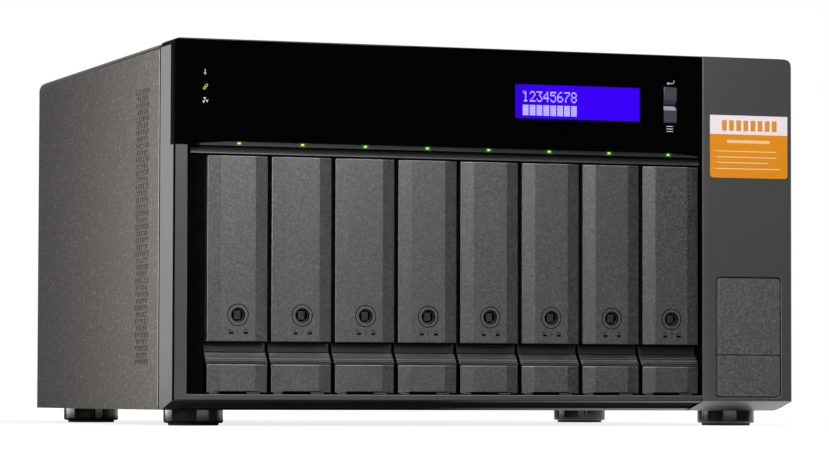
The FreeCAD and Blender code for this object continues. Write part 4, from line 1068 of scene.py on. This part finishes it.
# ---------------------------------------------------------------------------------------------
# Drives. Each tray holds a 3.5 inch drive on edge: a cast aluminium body, a stainless cover with a
# raised field, a green board let into the other side, and a blank label on the cover.

# Cast aluminium, e-coated: dull silver grey, with the grain of the die 1 mm across.
cast = clouded("cast_aluminium_body", 1.0, "6E7073", "85878A", 3.0, relief=(0.3, 0.2), Metallic=0.85,
               Roughness=0.5)

# Stainless cover: brushed along the drive, lines 0.5 mm apart.
stainless, tree, shader, spot = surface("brushed_stainless_cover")
drawn = node(tree, "ShaderNodeMapping", {"Vector": spot, "Scale": (1.0, 0.03, 1.0)})
lines = node(tree, "ShaderNodeTexNoise", {"Vector": drawn.outputs[0], "Scale": 1 / 0.0005, "Detail": 3.0})
shade = node(tree, "ShaderNodeMix", {0: lines.outputs[0], 6: tint("A2A4A6"), 7: tint("BCBEC0")},
             data_type="RGBA")
dull = node(tree, "ShaderNodeMapRange", {"Value": lines.outputs[0], "To Min": 0.24, "To Max": 0.38})
feed(tree, shader, Base_Color=shade.outputs[2], Metallic=1.0, Roughness=dull.outputs[0])

# Blank paper label: off-white, faintly fibrous.
blank = clouded("blank_paper_label", 1.5, "D8D7D2", "E8E7E2", 5.0, Roughness=0.55)

drive = welded("hard_drive_1", "drive_1", cast, stainless, mask, nylon)
soften(drive, 0.8, lambda x, y, z: x > FIRST_BAY + 13.1, 3)
soften(drive, 0.5, lambda x, y, z: (z < 23.5 or z > 124.9) and x < FIRST_BAY + 12.1, 2)
paint_faces(drive, 1, lambda x, y, z, n: x > FIRST_BAY + 11.95)
paint_faces(drive, 2, lambda x, y, z, n: n.x < -0.9 and y < 166
            and FIRST_BAY - 12.2 < x < FIRST_BAY - 11.0)
paint_faces(drive, 3, lambda x, y, z, n: y > 166 and x < FIRST_BAY - 5 and 32 < z < 75)
settle(drive, "hard_drive_1", "tray_1", None, ["drive_1"])

drive_label = block("drive_label_1", FIRST_BAY + 13.15, FIRST_BAY + 13.24, 44, 132, 42, 106)
soften(drive_label, 2.0, lambda x, y, z: (y < 44.1 or y > 131.9) and (z < 42.1 or z > 105.9), 4)
settle(drive_label, "drive_label_1", "tray_1", blank)
fill_bays(drive, "hard_drive", "tray", "drive")
fill_bays(drive_label, "drive_label", "tray")


# ---------------------------------------------------------------------------------------------
# Outer cover. One sheet of steel folded over the top and both sides, powder coated. A band of small
# hexagons is punched in each side behind the front moulding.

# A painted highlight along the cut front edge of the cover: a pale steel grey.
edge_highlight = clouded("painted_highlight_on_cut_edge", 1.5, "8A8784", "B5B2AE", Roughness=0.4, IOR=1.5)

cover = welded("outer_cover_shell", "outer_cover", powder, edge_highlight)
nudge(cover, (0, COVER_SETBACK, 0), lambda x, y, z: y < 25.4)
soften(cover, 0.45, lambda x, y, z: y < 26.9 and (abs(x) > 164.4 or z > 186.0), 2, 1)
settle(cover, "outer_cover_shell", "chassis", None, ["outer_cover"])


# ---------------------------------------------------------------------------------------------
# Fasteners. Four knurled thumb screws hold the cover to the rear, eight pan-head screws hold the
# fans, and hexagon posts carry the interface board.

# Nickel-plated steel: bright, warm grey, brushed by handling.
nickel = clouded("nickel_plated_steel", 1.5, "A9A8A4", "C6C4BF", 3.0, (0.2, 0.36), Metallic=1.0)

THUMB_SPAN, THUMB_RISE = 317.3, 120
POST_Z = 139.9
SCREW_SQUARE, FAN_STEP = 105.0, 122.0

thumb = rod(48, 4.2, 3.2, (-158.65, 278.0, 40), math.pi / 2)
choose(thumb, "FACE", lambda f: abs(f.normal.y) < 0.1 and f.index % 2 == 0)
bpy.ops.mesh.inset(thickness=0.00008, depth=-0.0003, use_individual=True)
leave()
choose(thumb, "FACE", lambda f: f.normal.y > 0.9)
bpy.ops.mesh.inset(thickness=0.0006)
bpy.ops.mesh.inset(thickness=0.0008, depth=-0.0005)
bpy.ops.mesh.inset(thickness=0.0009, depth=-0.0006)
leave()
corners = [(dx, 0, dz) for dx in (0, THUMB_SPAN) for dz in (0, THUMB_RISE)]
heads = scattered(thumb, "thumb_screws", corners[1:])
settle(heads, "thumb_screws", "chassis", nickel, ["fasteners"])

post = rod(6, 3.46, 12.2, (-20, 156, POST_Z))
choose(post, "FACE", lambda f: abs(f.normal.z) > 0.9)
bpy.ops.mesh.inset(thickness=0.0008, depth=0.0)
leave()
soften(post, 0.3, lambda x, y, z: abs(z - POST_Z) > 6.0, 2)
places = [(dx, dy, 0) for dy in (0, 18) for dx in (0, 60, 120)]
posts = scattered(post, "board_posts", places[1:])
settle(posts, "board_posts", "chassis", nickel, ["fasteners"])

pan_head = rod(32, 3.6, 1.8, (-148.5, 276.1, 19.5), math.pi / 2)
choose(pan_head, "EDGE", lambda e: middle_of(e)[1] > 276.9 and e.calc_face_angle(0.0) > 0.5)
bpy.ops.mesh.bevel(offset=0.0009, segments=4, affect="EDGES")
leave()
choose(pan_head, "FACE", lambda f: f.normal.y > 0.999)
bpy.ops.mesh.inset(thickness=0.0012)
bpy.ops.mesh.inset(thickness=0.0003, depth=-0.0009)
leave()
# Each fan has a screw at every corner of a square, and the second fan stands a step to the right.
around = [(dx, 0, dz) for dx in (0, SCREW_SQUARE, FAN_STEP, FAN_STEP + SCREW_SQUARE)
          for dz in (0, SCREW_SQUARE)]
fan_screws = scattered(pan_head, "fan_screws", around[1:])
settle(fan_screws, "fan_screws", "chassis", nickel)
